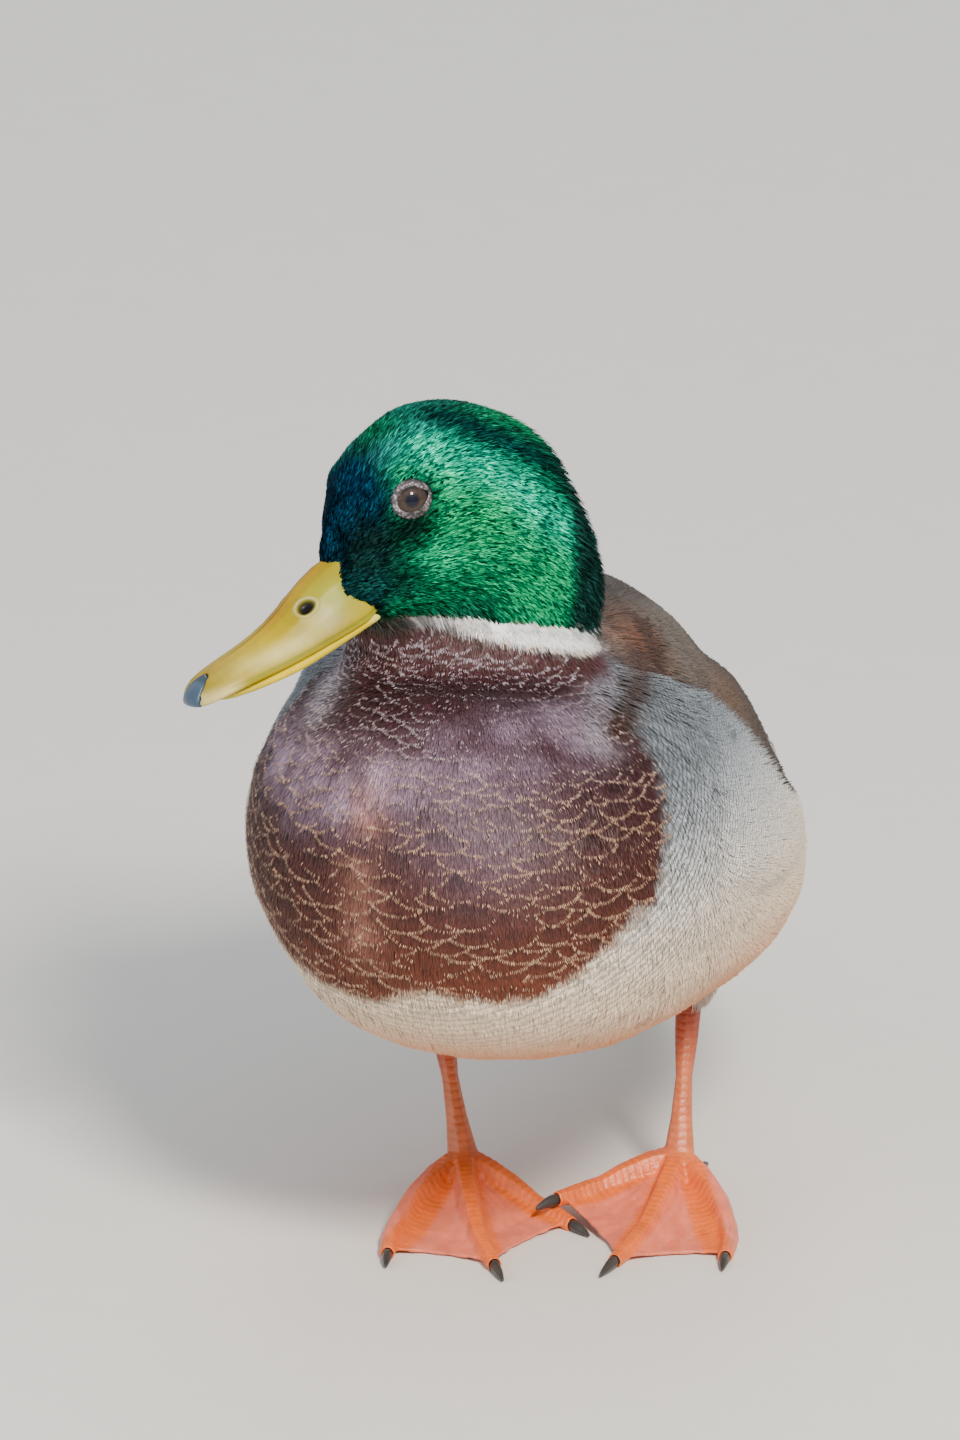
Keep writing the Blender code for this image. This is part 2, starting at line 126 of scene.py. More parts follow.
def face_over_bill():
    """The bill's base as far as feathers cover it: a copy cut off at the face's edge."""
    part = copy_of("bill_upper")
    for vert in part.verts:
        vert.co += vert.normal * FACE_RISE * MM
    for ahead, up, lean in FACE_EDGE:
        whole = part.verts[:] + part.edges[:] + part.faces[:]
        cut = bmesh.ops.bisect_plane(part, geom=whole, plane_co=from_head(ahead, 0, up) * MM,
                                     plane_no=HEAD_AHEAD + HEAD_UP * lean, clear_outer=True)
        rim = [edge for edge in cut["geom_cut"] if isinstance(edge, bmesh.types.BMEdge)]
        bmesh.ops.edgeloop_fill(part, edges=rim)
    part.normal_update()
    return part


def solids_joined(name, parts, grow):
    """One mesh that holds copies of the solids, each with its corners merged and grown."""
    whole = bmesh.new()
    for part in parts:
        part = copy_of(part) if isinstance(part, str) else part
        for vert in part.verts:
            vert.co += vert.normal * grow * MM
        held = bpy.data.meshes.new("held")
        part.to_mesh(held)
        part.free()
        whole.from_mesh(held)
        bpy.data.meshes.remove(held)
    mesh = bpy.data.meshes.new(name)
    whole.to_mesh(mesh)
    whole.free()
    piece = bpy.data.objects.new(name, mesh)
    bpy.context.scene.collection.objects.link(piece)
    return piece


def remeshed(piece, grain, rounds):
    """Makes a piece one even net of four-sided faces and smooths it."""
    net = piece.modifiers.new("Even", "REMESH")
    net.mode = "VOXEL"
    net.voxel_size = grain * MM
    ease = piece.modifiers.new("Smooth", "SMOOTH")
    ease.factor = 0.5
    ease.iterations = rounds
    graph = bpy.context.evaluated_depsgraph_get()
    made = bpy.data.meshes.new_from_object(piece.evaluated_get(graph))
    piece.modifiers.clear()
    old = piece.data
    piece.data = made
    bpy.data.meshes.remove(old)
    made.shade_smooth()
    return piece


def corners(mesh):
    flat = np.empty(len(mesh.vertices) * 3)
    mesh.vertices.foreach_get("co", flat)
    return flat.reshape(-1, 3) / MM


def outwards(mesh):
    flat = np.empty(len(mesh.vertices) * 3)
    mesh.vertex_normals.foreach_get("vector", flat)
    return flat.reshape(-1, 3)


def set_corners(mesh, points):
    mesh.vertices.foreach_set("co", (points * MM).ravel())
    mesh.update()


def edges_of(mesh):
    flat = np.empty(len(mesh.edges) * 2, dtype=np.int32)
    mesh.edges.foreach_get("vertices", flat)
    return flat.reshape(-1, 2)


def evened(values, edges, rounds):
    """Each corner's value drawn towards those of its neighbours, again and again."""
    count = np.bincount(edges.ravel(), minlength=len(values)).astype(float)
    count[count == 0] = 1
    for _ in range(rounds):
        total = np.zeros_like(values)
        np.add.at(total, edges[:, 0], values[edges[:, 1]])
        np.add.at(total, edges[:, 1], values[edges[:, 0]])
        share = total / (count[:, None] if values.ndim > 1 else count)
        values = 0.5 * values + 0.5 * share
    return values


def unit(vectors):
    length = np.linalg.norm(vectors, axis=-1, keepdims=True)
    return vectors / np.maximum(length, 1e-9)


def smooth_step(value, start, end):
    share = np.clip((value - start) / (end - start), 0, 1)
    return share * share * (3 - 2 * share)


def spot(places, centre, size):
    """A soft round spot: 1 in its middle and nothing past about twice its size."""
    away = (places - np.array(centre)) / np.array(size)
    return np.exp(-(away ** 2).sum(axis=1))


def streak(places, route, width):
    """A soft stroke along a route of points: 1 on it and nothing past about twice its width."""
    best = np.full(len(places), 1e9)
    for start, end in zip(np.array(route[:-1], dtype=float), np.array(route[1:], dtype=float)):
        run = end - start
        share_on = np.clip(((places - start) @ run) / (run @ run), 0, 1)
        best = np.minimum(best, np.linalg.norm(places - start - share_on[:, None] * run, axis=1))
    return np.exp(-(best / width) ** 2)


def midline(y):
    """How far aside the body's middle is: its rear swings a little to the right."""
    return MIDLINE_FRONT[0] - REAR_SWING * (y - MIDLINE_FRONT[1])


def tree_of(node):
    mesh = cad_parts[node].data
    points = corners(mesh)
    faces = [tuple(face.vertices) for face in mesh.polygons]
    return BVHTree.FromPolygons([tuple(point) for point in points], faces)


flesh = solids_joined("skin", [*FLESH, "eye_left", "eye_right", face_over_bill()], SKIN_JOINS)
skin = remeshed(flesh, SKIN_GRAIN, rounds=7)
points = corners(skin.data)
edges = edges_of(skin.data)

# Which solid each bit of skin belongs to, as soft shares.
trees = {name: tree_of(name) for name in [*FLESH, "bill_upper", "bill_lower"]}


def reach_of(name, places):
    """How far each place is from a solid."""
    return np.array([trees[name].find_nearest(place)[3] for place in map(tuple, places)])


owner = np.argmin([reach_of(name, points) for name in FLESH], axis=0)
share = {}
for k, part in enumerate(("trunk", "neck", "head", "wing", "wing", "thigh", "thigh")):
    share[part] = share.get(part, 0) + (owner == k).astype(float)
share = {part: evened(value, edges, rounds=6) for part, value in share.items()}
to_bill = np.minimum(reach_of("bill_upper", points), reach_of("bill_lower", points))

depth = sum(COAT_DEPTH[part] * value for part, value in share.items())
depth = depth * (-0.3 + 1.3 * smooth_step(to_bill, 0.5, 13))
local = in_head(points)
for side in (1, -1):
    away = np.linalg.norm(local - (EYE_AHEAD, side * EYE_ASIDE[0], EYE_UP), axis=1)
    depth = depth - BROW_SWELL * np.exp(-(away / BROW_SPREAD) ** 2)
    depth = depth + (BROW_SWELL + SOCKET_DEPTH) * smooth_step(-away, -6.5, -4)
in_half = np.c_[local[:, 0], np.abs(local[:, 1]), local[:, 2]]
for route, width, rise in HEAD_FORM:
    depth = depth - rise * streak(in_half, route, width) * np.maximum(share["head"], share["neck"])
aside = points[:, 0] - midline(points[:, 1])
for route, width, rise in BODY_FORM:
    across = aside if route[0][0] < 0 else np.abs(aside)
    depth = depth - rise * streak(np.c_[across, points[:, 1:]], route, width) * (1 - share["head"])
points = points - outwards(skin.data) * (depth + SKIN_JOINS)[:, None]
points = evened(points, edges, rounds=2)
set_corners(skin.data, points)
normals = outwards(skin.data)
SKIN_FACES = np.array([tuple(face.vertices) for face in skin.data.polygons])
skin_tree = BVHTree.FromPolygons([tuple(point) for point in points], [tuple(face) for face in SKIN_FACES])

# The lie of the feathers: away from the bill, down the neck, out over the breast and to the tail.
BILL_ROOT = from_head(42, 0, -12)
NECK_ROOT = Vector((3, -108, 186))
TAILWARD = Vector((-0.05, 1, -0.22))
x, y, z = points.T

from_bill = points - np.array(BILL_ROOT)
far = np.linalg.norm(from_bill, axis=1)
head_lie = unit(from_bill) + np.array([0, 0.15, -1]) * (0.95 * smooth_step(far, 25, 75))[:, None]
neck_lie = np.array([0, 0.05, -1.0])
rearward = smooth_step(y, -105, 10)[:, None]
trunk_lie = unit(points - np.array(NECK_ROOT)) * (1 - rearward) + unit(np.array(TAILWARD)) * rearward
wing_lie = unit(np.array([0, 1, -0.32]))
lie = head_lie * share["head"][:, None] + neck_lie * share["neck"][:, None]
lie = lie + trunk_lie * share["trunk"][:, None] + wing_lie * share["wing"][:, None]
lie = lie + np.array([0, -0.1, -1.0]) * share["thigh"][:, None]
lie = evened(lie, edges, rounds=12)
lie = unit(lie - normals * (lie * normals).sum(axis=1)[:, None])


# ---- Markings ------------------------------------------------------------------------------------
# The drake's pattern: green head, white collar, chestnut breast, pale grey flanks, brown back and black round
# the tail, with painted sheen, highlight and shade laid over it in places. It is worked out once at each
# corner of the skin, and feathers take it up.

def linear(hexed):
    """The linear red, green and blue of an sRGB hex colour."""
    parts = [int(hexed[k:k + 2], 16) / 255 for k in (1, 3, 5)]
    return np.array([p / 12.92 if p < 0.04045 else ((p + 0.055) / 1.055) ** 2.4 for p in parts])


def painted(ground, hexed, amount):
    """Lays a colour over the ground where amount is more than nothing."""
    amount = np.clip(amount, 0, 1)[:, None]
    return ground * (1 - amount) + linear(hexed) * amount


def ripple(places, length, seed):
    """A smooth, random-looking wave over space, between about -1 and 1."""
    random = np.random.default_rng(seed)
    total = 0
    for _ in range(6):
        heading = unit(random.normal(size=3))
        pitch = length * random.uniform(0.7, 1.5)
        total = total + np.sin(places @ heading * 2 * pi / pitch + random.uniform(0, 6))
    return total / 3.2


def curve(value, knots):
    return np.interp(value, [knot[0] for knot in knots], [knot[1] for knot in knots])


# Where the grey flank ends above, along the body, and where the breast ends behind, by height.
FLANK_TOP = [(-105, 182), (-87, 173), (-70, 163), (-55, 149), (-36, 125), (-10, 113), (30, 105), (70, 101)]
BREAST_END = [(96, -168), (103, -163), (110, -156), (120, -147), (130, -138), (141, -132), (160, -124),
              (172, -122)]
BREAST_END_RIGHT = [(94, -170), (99, -158), (104, -144), (110, -128), (118, -112), (130, -103),
                    (142, -102), (152, -108), (165, -116), (185, -112)]
SHOULDER_STREAK = [(35, -70, 181.5), (40.5, -79, 179), (45.3, -101, 177), (47.2, -118, 175.5),
                   (47.4, -129, 173)]
GREEN_ENDS = (156, -0.024, -0.3415)  # a plane through the neck: its height, and its slope aside and along
COLLAR_WIDTHS = (0.3, 5.8)  # under the bill and at the neck's sides
NECK_MIDDLE = (-2, -108)
NECK_EDGE = 0.6  # how soft the edges between green, white and brown are


def below_green(places):
    """How far each place is under the line round the neck where the green ends."""
    x, y, z = places.T
    return GREEN_ENDS[0] + GREEN_ENDS[1] * x + GREEN_ENDS[2] * y - z


def breast_reach(places):
    """How far back the breast's brown reaches, beside each point."""
    x, y, z = places.T
    turned = smooth_step(midline(y) - x, 5, 25)
    return curve(z, BREAST_END) * (1 - turned) + curve(z, BREAST_END_RIGHT) * turned


def markings(places, share):
    """Colour of the plumage at each point, and how much pale edge and fine dark waving it has."""
    x, y, z = places.T
    aside = np.abs(x - midline(y))
    mirrored = np.c_[aside + 4, y, z]
    wander = ripple(places, 34, seed=3) * 3 + ripple(places, 11, seed=4) * 1.6
    flank_top = curve(y, FLANK_TOP)

    ground = np.tile(linear("#E4DFD8"), (len(places), 1))
    # Towards the bottom the pale flank is painted warmer and the belly orange: painted warm light thrown up
    # from below.
    ground = painted(ground, "#E6CFB2", smooth_step(-z, -138, -90))
    ground = painted(ground, "#C87C40", smooth_step(-z, -99, -70) * 0.95)
    ground = painted(ground, "#A9B4BE", smooth_step(z, 112, 150) * 0.85)
    ground = painted(ground, "#6C7680", smooth_step(z, 132, 162) * 0.85)

    above = smooth_step(z - flank_top + wander * 0.4, -1, 1)
    ground = painted(ground, "#5E544B", above)
    ground = painted(ground, "#3C3026", above * smooth_step(-z, -163, -152))
    ground = painted(ground, "#3A3028", above * smooth_step(-aside, -34, -24))
    ground = painted(ground, "#2A211C", above * smooth_step(-aside, -16, -6))
    # Just above the flank's upper edge, a thin dark band: painted shadow of the flank's edge, which laps over
    # the wing.
    ground = painted(ground, "#2C211A", above * smooth_step(flank_top - z, -4, -1.5))
    ground = painted(ground, "#6A4E3A", above * spot(mirrored, (58, -50, 152), (9, 30, 12)) * 0.7)
    ground = painted(ground, "#2E2420", above * smooth_step(-aside, -20, -8) * smooth_step(-y, 20, 60))
    ground = painted(ground, "#7A4A2E", above * spot(mirrored, (38, -80, 180), (9, 12, 9)) * 0.8)

    fingers = 7.0 * np.sin(z * 2 * pi / 9.5 + 1.0) ** 2 * smooth_step(z, 112, 130)
    breast = smooth_step(breast_reach(places) - y + wander + fingers - 3, -1, 1)
    breast = breast * smooth_step(z + wander * 1.2, 96, 99)
    ground = painted(ground, "#4E2216", breast)
    ground = painted(ground, "#3A1C1E", breast * smooth_step(z, 118, 160))
    ground = painted(ground, "#6A3016", breast * smooth_step(-z, -124, -104) * 0.7)
    # A violet band over the upper breast and a mauve spot under it: painted sheen.
    violet_sheen = streak(places, [(-52, -128, 160), (-30, -152, 158), (-8, -158, 160), (14, -152, 166),
                             (34, -138, 172)], 10)
    violet_sheen = violet_sheen * (0.7 + 0.4 * ripple(places, 13, seed=5))
    ground = painted(ground, "#A28CA4", breast * violet_sheen)
    ground = painted(ground, "#8C7488", breast * spot(places, (18, -158, 150), (16, 16, 14)) * 0.45)
    # Pale rosy patches down the middle of the breast: painted highlight.
    rosy_highlight = breast * streak(places, [(-12, -160, 158), (-14, -166, 138), (-14, -166, 118)], 6)
    rosy_highlight = rosy_highlight * np.clip(0.3 + 0.25 * ripple(places, 9, seed=6), 0, 0.5)
    ground = painted(ground, "#B8806E", rosy_highlight)
    shoulder = streak(mirrored, [(36, -104, 188), (40, -112, 181), (43, -126, 176), (43, -135, 173)], 6)
    shoulder = shoulder * (0.5 + 0.4 * smooth_step(aside, 0, 20) + 0.25 * ripple(places, 7, seed=7))
    ground = painted(ground, "#98929E", shoulder)
    ground = painted(ground, "#3E2416", streak(places, SHOULDER_STREAK, 4.2) * 1.7)

    rump = smooth_step(y, 62, 78)
    ground = painted(ground, "#15191B", rump * (1 - share["wing"]))
    vent = smooth_step(y, 44, 52) * smooth_step(-y, -66, -58) * smooth_step(-z, -100, -92)
    ground = painted(ground, "#E6E2D8", vent)
    ground = painted(ground, "#C8B4A4", share["thigh"])

    waves = 0.2 + 0.5 * smooth_step(z, 80, 112) + 0.3 * smooth_step(z, 112, 140)
    waves = (1 - breast) * (1 - above) * waves * (1 - rump)
    waves = waves + above * 0.5 * (1 - rump)
    return ground, breast, np.clip(waves, 0, 1)


colour, fringe, waves = markings(points, share)
head_share = share["head"]
local = in_head(points)

# Neck: green down to the collar, a white collar that is open at the nape, and chestnut under it.
drop = below_green(points) + ripple(points, 9, seed=8) * 0.35
neck_front = smooth_step(-y, 92, 104)
round_neck = unit(points[:, :2] - NECK_MIDDLE) @ unit(np.array(HEAD_AHEAD.xy))
round_neck = np.degrees(np.arccos(np.clip(round_neck, -1, 1)))
collar_width = COLLAR_WIDTHS[0] + (COLLAR_WIDTHS[1] - COLLAR_WIDTHS[0]) * smooth_step(round_neck, 20, 120)
near_neck = smooth_step(z, 170, 178) * smooth_step(-y, 62, 72)
under_head = np.maximum(neck_front, smooth_step(-reach_of("head", points), -6, -3))
green_neck = near_neck * smooth_step(-drop, -NECK_EDGE, NECK_EDGE) * under_head
collar = near_neck * (1 - head_share) * smooth_step(drop, -NECK_EDGE, NECK_EDGE)
collar = collar * smooth_step(collar_width - drop, -NECK_EDGE, NECK_EDGE) * neck_front
under_collar = share["neck"] * smooth_step(drop, 2, 4)
colour = painted(colour, "#442224", under_collar)
colour = painted(colour, "#F4F6F8", collar)
fringe = np.maximum(fringe, under_collar) * (1 - collar)
green_share = head_share + (1 - head_share) * green_neck

# Head: emerald that turns blue-black towards the bill and nearly black down the nape.
places = np.c_[local[:, 0], np.abs(local[:, 1]), local[:, 2]]
green = np.tile(linear("#067C50"), (len(points), 1))
# A paler teal on the brow: painted highlight.
green = painted(green, "#2E8C88", streak(places, [(12, 8, 18), (6, 12, 18), (-2, 12, 20)], 6) * 0.9)
green = painted(green, "#1A7A70", streak(places, [(-4, 0, 24), (-20, 0, 20)], 7) * 0.8)
green = painted(green, "#083048", smooth_step(places[:, 0] + 0.35 * places[:, 2], 15.5, 22))
green = painted(green, "#0A3450", spot(places, (20, 4, 12), (8, 8, 8)) * 0.4)
green = painted(green, "#102A2A", spot(places, (25, 13, -4), (10, 9, 10)) * 1.3)
green = painted(green, "#081818", spot(places, (13, 19, -2), (7, 7, 6)) * 1.2)
# Dark green under the bill's base, by the gape: painted shade.
green = painted(green, "#0A3430", streak(places, [(30, 10, -12), (20, 15, -16)], 7) * 0.9)
# The bright emerald band down the side of the head and the brighter green patches on the cheek: painted sheen
# of the iridescent gloss.
green = painted(green, "#00B08C", streak(places, [(2, 15, 17), (-6, 19.5, 13), (-13, 23.5, 3),
                                                  (-20, 25.5, -8), (-28, 25, -22)], 6) * 1.1)
green = painted(green, "#14AA6A", spot(places, (-3, 24, -7), (9, 8, 7)) * 0.85)
green = painted(green, "#06B078", spot(places, (9, 21, -12), (7, 7, 4.5)))
green = painted(green, "#08A468", spot(places, (-16, 24, -30), (12, 10, 10)) * 0.8)
green = painted(green, "#02262E", streak(places, [(-9, 10, 22), (-17, 18, 12.5), (-25, 20.5, 5),
                                                  (-33, 20, -5)], 7) * 0.95)
green = painted(green, "#123430", smooth_step(-places[:, 0] - 0.3 * places[:, 2], 30.5, 36))
green = painted(green, "#143C36", smooth_step(-places[:, 2], 22, 31) * smooth_step(places[:, 0], -8, 8) * 0.8)
green = painted(green, "#0A2420", smooth_step(-drop, -4, -0.5) * (1 - smooth_step(-drop, 0, 4)) * 0.6)
green = green * (0.82 + 0.28 * ripple(places, 5, seed=10) + 0.18 * ripple(places, 12, seed=12))[:, None]
colour = colour * (1 - green_share[:, None]) + green * green_share[:, None]
fringe = fringe * (1 - green_share)
waves = waves * (1 - green_share) * (1 - collar) * (1 - under_collar)


def node(tree, kind, settings=(), inputs=(), **links):
    """Adds a shader node, with its settings, its sockets' values and the sockets linked to it."""
    made = tree.nodes.new(kind)
    for name, value in dict(settings).items():
        setattr(made, name, value)
    for name, value in dict(inputs).items():
        made.inputs[name].default_value = value
    for name, source in links.items():
        socket = made.inputs[int(name[1:])] if name[0] == "_" else made.inputs[name.replace("_", " ")]
        tree.links.new(source, socket)
    return made


def new_material(name):
    """A material with nothing in it yet, and its node tree."""
    material = bpy.data.materials.new(name)
    material.use_nodes = True
    tree = material.node_tree
    tree.nodes.clear()
    return material, tree


def carried(tree, name, output="Fac"):
    """A value or a Color that the mesh carries at its corners."""
    return node(tree, "ShaderNodeAttribute", {"attribute_name": name}).outputs[output]


def here(tree):
    return node(tree, "ShaderNodeTexCoord").outputs["Object"]


def cloudy(tree, place, scale, detail=3.0):
    """Noise of so many waves to the metre."""
    values = {"Scale": scale, "Detail": detail, "Roughness": 0.6}
    return node(tree, "ShaderNodeTexNoise", {}, values, Vector=place).outputs["Fac"]


def between(tree, value, start, end, low=0.0, high=1.0):
    """Turns a value from start to end into one from low to high, softly at both ends."""
    ends = {"From Min": start, "From Max": end, "To Min": low, "To Max": high}
    made = node(tree, "ShaderNodeMapRange", {"interpolation_type": "SMOOTHSTEP"}, ends, Value=value)
    return made.outputs["Result"]


def times(tree, value, other):
    """A value times another one, or times a number."""
    if isinstance(other, float):
        return node(tree, "ShaderNodeMath", {"operation": "MULTIPLY"}, {1: other}, _0=value).outputs["Value"]
    return node(tree, "ShaderNodeMath", {"operation": "MULTIPLY"}, _0=value, _1=other).outputs["Value"]


def scaled(tree, hue, factor):
    """A colour made darker or lighter."""
    return node(tree, "ShaderNodeVectorMath", {"operation": "SCALE"}, _0=hue, Scale=factor).outputs["Vector"]


def laid_over(tree, ground, hexed, amount):
    """A plain colour laid over another one."""
    top = {7: (*linear(hexed), 1)}
    return node(tree, "ShaderNodeMix", {"data_type": "RGBA"}, top, _0=amount, _6=ground).outputs[2]


def relief(tree, height, strength, depth_of):
    made = node(tree, "ShaderNodeBump", {}, {"Strength": strength, "Distance": depth_of}, Height=height)
    return made.outputs["Normal"]


def surface(tree, hue, normal=None, **settings):
    """The shader that ends a material, with its plain values by name."""
    values = {name.replace("_", " "): value for name, value in settings.items()}
    links = {"Base_Color": hue} if normal is None else {"Base_Color": hue, "Normal": normal}
    shader = node(tree, "ShaderNodeBsdfPrincipled", {}, values, **links)
    node(tree, "ShaderNodeOutputMaterial", Surface=shader.outputs["BSDF"])


WAVE_PITCH = 1.0  # coarser than a real feather's fine dark lines, so that they show
WAVE_ROOT = (3, -125, 150)  # the fine waves run round this place
WAVE_COLOUR = "#44464A"
FRINGE_WIDTH = 0.2  # over this share of the barbs the pale edge comes up


def plumage(name, roughness, metallic=0.0, sheen=0.0, shine=0.5, gleam="#FFFFFF", streaky=0.3,
            fringe_colour="#D8BCA2", fringe_from=0.45):
    """Feather: keratin barbs that lie side by side, so it is streaked along them and shines softly."""
    material, tree = new_material(name)
    spark = carried(tree, "spark")
    hue = scaled(tree, carried(tree, "tint", "Color"), between(tree, spark, 0, 1, 1 - streaky, 1 + streaky))
    place = here(tree)
    centre = {1: tuple(value * MM for value in WAVE_ROOT)}
    far = node(tree, "ShaderNodeVectorMath", {"operation": "DISTANCE"}, centre, _0=place).outputs["Value"]
    wander = times(tree, cloudy(tree, place, 420.0, 2.0), 1.7 * MM)
    path = node(tree, "ShaderNodeMath", {"operation": "ADD"}, _0=far, _1=wander).outputs["Value"]
    turn = times(tree, path, 2 * pi / (WAVE_PITCH * MM))
    lines = node(tree, "ShaderNodeMath", {"operation": "SINE"}, _0=turn).outputs["Value"]
    dark = times(tree, between(tree, lines, -0.1, 0.8, 0, 0.8), carried(tree, "waves"))
    hue = laid_over(tree, hue, WAVE_COLOUR, dark)
    edge = between(tree, carried(tree, "reach"), fringe_from, fringe_from + FRINGE_WIDTH)
    hue = laid_over(tree, hue, fringe_colour, times(tree, edge, carried(tree, "fringe")))
    rough = relief(tree, cloudy(tree, place, 1500.0, 2.0), 0.2, 0.2 * MM)
    surface(tree, hue, rough, Roughness=roughness, Metallic=metallic, Specular_IOR_Level=shine,
            Specular_Tint=(*linear(gleam), 1), Sheen_Weight=sheen, Sheen_Roughness=0.4)
    return material


def give(mesh, name, values, kind="FLOAT"):
    """Stores one value or colour at each corner of a mesh."""
    layer = mesh.attributes.new(name, kind, "POINT")
    if kind == "FLOAT_COLOR":
        layer.data.foreach_set("color", np.c_[values, np.ones(len(values))].ravel().astype(np.float32))
    else:
        layer.data.foreach_set("value", np.asarray(values, dtype=np.float32))


def skin_finish():
    """Bare, dull skin with down on it, in the colour of the feathers that grow there."""
    material, tree = new_material("downy_skin")
    down = cloudy(tree, here(tree), 700.0, 4.0)
    hue = scaled(tree, carried(tree, "tint", "Color"), between(tree, down, 0, 1, 0.5, 1.0))
    surface(tree, hue, relief(tree, down, 0.5, 0.5 * MM), Roughness=0.8)
    return material


give(skin.data, "tint", colour, "FLOAT_COLOR")
skin.data.materials.append(skin_finish())

bpy.context.view_layer.objects.active = skin
skin.select_set(True)
bpy.ops.object.mode_set(mode="EDIT")
bpy.ops.mesh.select_all(action="SELECT")
skin.data.uv_layers.new(name="OFBake")
bpy.ops.uv.smart_project(angle_limit=radians(66), island_margin=0.002)
bpy.ops.object.mode_set(mode="OBJECT")
skin.select_set(False)
flat = np.empty(len(skin.data.loops) * 2)
skin.data.uv_layers["OFBake"].uv.foreach_get("vector", flat)
SKIN_UV = flat.reshape(-1, 4, 2)

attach(skin, "root")
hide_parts(*FLESH)


# ---- Growing feathers ----------------------------------------------------------------------------
# A contour feather is a shaft with barbs on both sides, each a thin strip. It is bent to the body
# by a few of its points, lies tailward, and rises from the skin at its root to the coat's surface.

BAKE_PATCH = 0.003  # the share of the baked map that one feather gets, each way
PACKING_TRIES = 9
SHAFT_FROM, VANE_SHOULDER = 0.08, 0.55  # along a feather: where barbs begin, and where it is widest
BARB_OPENING = 82  # degrees between the shaft and the lowest barb
VANE_CAMBER = 0.45  # how far a vane's edges lie under its shaft


def quad_areas():
    a, b, c, d = (points[SKIN_FACES[:, k]] for k in range(4))
    return 0.5 * np.linalg.norm(np.cross(c - a, d - b), axis=1)


FACE_AREA = quad_areas()


def across_face(values, faces, s, t):
    """A value at places on the skin, from the values at the four corners of their faces."""
    a, b, c, d = (values[SKIN_FACES[faces, k]] for k in range(4))
    if values.ndim > 1:
        s, t = s[:, None], t[:, None]
    return (a * (1 - s) + b * s) * (1 - t) + (d * (1 - s) + c * s) * t


class Roots:
    """Places on the skin that feathers grow from, with what the skin knows there."""

    def __init__(self, faces, s, t):
        self.point = across_face(points, faces, s, t)
        self.normal = unit(across_face(normals, faces, s, t))
        along = across_face(lie, faces, s, t)
        self.lie = unit(along - self.normal * (along * self.normal).sum(axis=1)[:, None])
        self.colour = across_face(colour, faces, s, t)
        self.fringe = across_face(fringe, faces, s, t)
        self.waves = across_face(waves, faces, s, t)
        a, b, c, d = (SKIN_UV[faces, k] for k in range(4))
        s, t = s[:, None], t[:, None]
        self.uv = (a * (1 - s) + b * s) * (1 - t) + (d * (1 - s) + c * s) * t

    def __len__(self):
        return len(self.point)

    def coloured_ahead(self, distance):
        """Takes up the markings a little further along, where a short feather shows."""
        spots = self.point + self.lie * np.broadcast_to(distance, len(self))[:, None]
        faces = [skin_tree.find_nearest(spot)[2] for spot in map(tuple, spots)]
        corner = SKIN_FACES[faces]
        seen = [value[corner].mean(axis=1) for value in (colour, fringe, waves, green_share, collar)]
        self.colour, self.fringe, self.waves, self.green, self.white = seen
        return self

    def kept(self, which):
        for name, value in list(vars(self).items()):
            setattr(self, name, value[which])
        return self


def scattered(weight, count, seed):
    """Places spread over the skin, more of them where the weight at its corners is greater."""
    random = np.random.default_rng(seed)
    chance = FACE_AREA * weight[SKIN_FACES].mean(axis=1)
    chance = np.cumsum(chance) / chance.sum()
    faces = np.searchsorted(chance, (np.arange(count) + random.uniform(size=count)) / count)
    faces = np.minimum(faces, len(SKIN_FACES) - 1)
    order = random.permutation(count)
    return Roots(faces[order], random.uniform(size=count), random.uniform(size=count))


def spaced(weight, spacing, seed):
    """Places over the skin that keep a distance from each other, which may change over it."""
    area = (FACE_AREA * (weight[SKIN_FACES].mean(axis=1) > 0.5)).sum()
    least = float(np.min(spacing[weight > 0.5])) if np.any(weight > 0.5) else 1.0
    roots = scattered((weight > 0.5).astype(float), int(PACKING_TRIES * area / least ** 2) + 10, seed)
    nearest = [skin_tree.find_nearest(point)[2] for point in map(tuple, roots.point)]
    gap = spacing[SKIN_FACES[nearest, 0]]
    cells = {}
    kept = []
    size = float(gap.max())
    keys = np.floor(roots.point / size).astype(int)
    around = [(i, j, k) for i in (-1, 0, 1) for j in (-1, 0, 1) for k in (-1, 0, 1)]
    for n, (point, key) in enumerate(zip(roots.point.tolist(), keys.tolist())):
        near = gap[n] ** 2
        clear = True
        for i, j, k in around:
            for other in cells.get((key[0] + i, key[1] + j, key[2] + k), ()):
                if sum((p - q) ** 2 for p, q in zip(point, other)) < near:
                    clear = False
                    break
            if not clear:
                break
        if clear:
            kept.append(n)
            cells.setdefault(tuple(key), []).append(point)
    return roots.kept(np.array(kept, dtype=int))


def vane_shape(barbs):
    """The barbs of one feather: across in half-widths, along in lengths, reach along each barb."""
    across, along, reach, strand, faces = [], [], [], [], []
    stages = ((0, 1.0), (0.55, 1.0), (0.86, 0.72))
    for side in (-1, 1):
        for k in range(barbs):
            ends = []
            for t in (k / barbs, (k + 1) / barbs, (k + 0.5) / barbs):
                turn = radians(BARB_OPENING) * (1 - t)
                start = np.array([0, SHAFT_FROM + (0.8 - SHAFT_FROM) * t])
                end = np.array([sin(turn), VANE_SHOULDER + (1 - VANE_SHOULDER) * cos(turn)])
                ends.append((start, end))
            first = len(across)
            for out, width in stages:
                low, high, mid = (start + (end - start) * out for start, end in ends)
                for edge in (mid + (low - mid) * width, mid + (high - mid) * width):
                    across.append(side * edge[0])
                    along.append(edge[1])
                    reach.append(out)
            tip = ends[2][1]
            across.append(side * tip[0])
            along.append(tip[1])
            reach.append(1)
            strand += [k + barbs * (side > 0)] * 7
            rows = [(0, 1, 3, 2), (2, 3, 5, 4)]
            faces += [[first + n for n in (row if side > 0 else row[::-1])] for row in rows]
            faces.append([first + n for n in ((4, 5, 6) if side > 0 else (6, 5, 4))])
    return np.array(across), np.array(along), np.array(reach), np.array(strand), faces


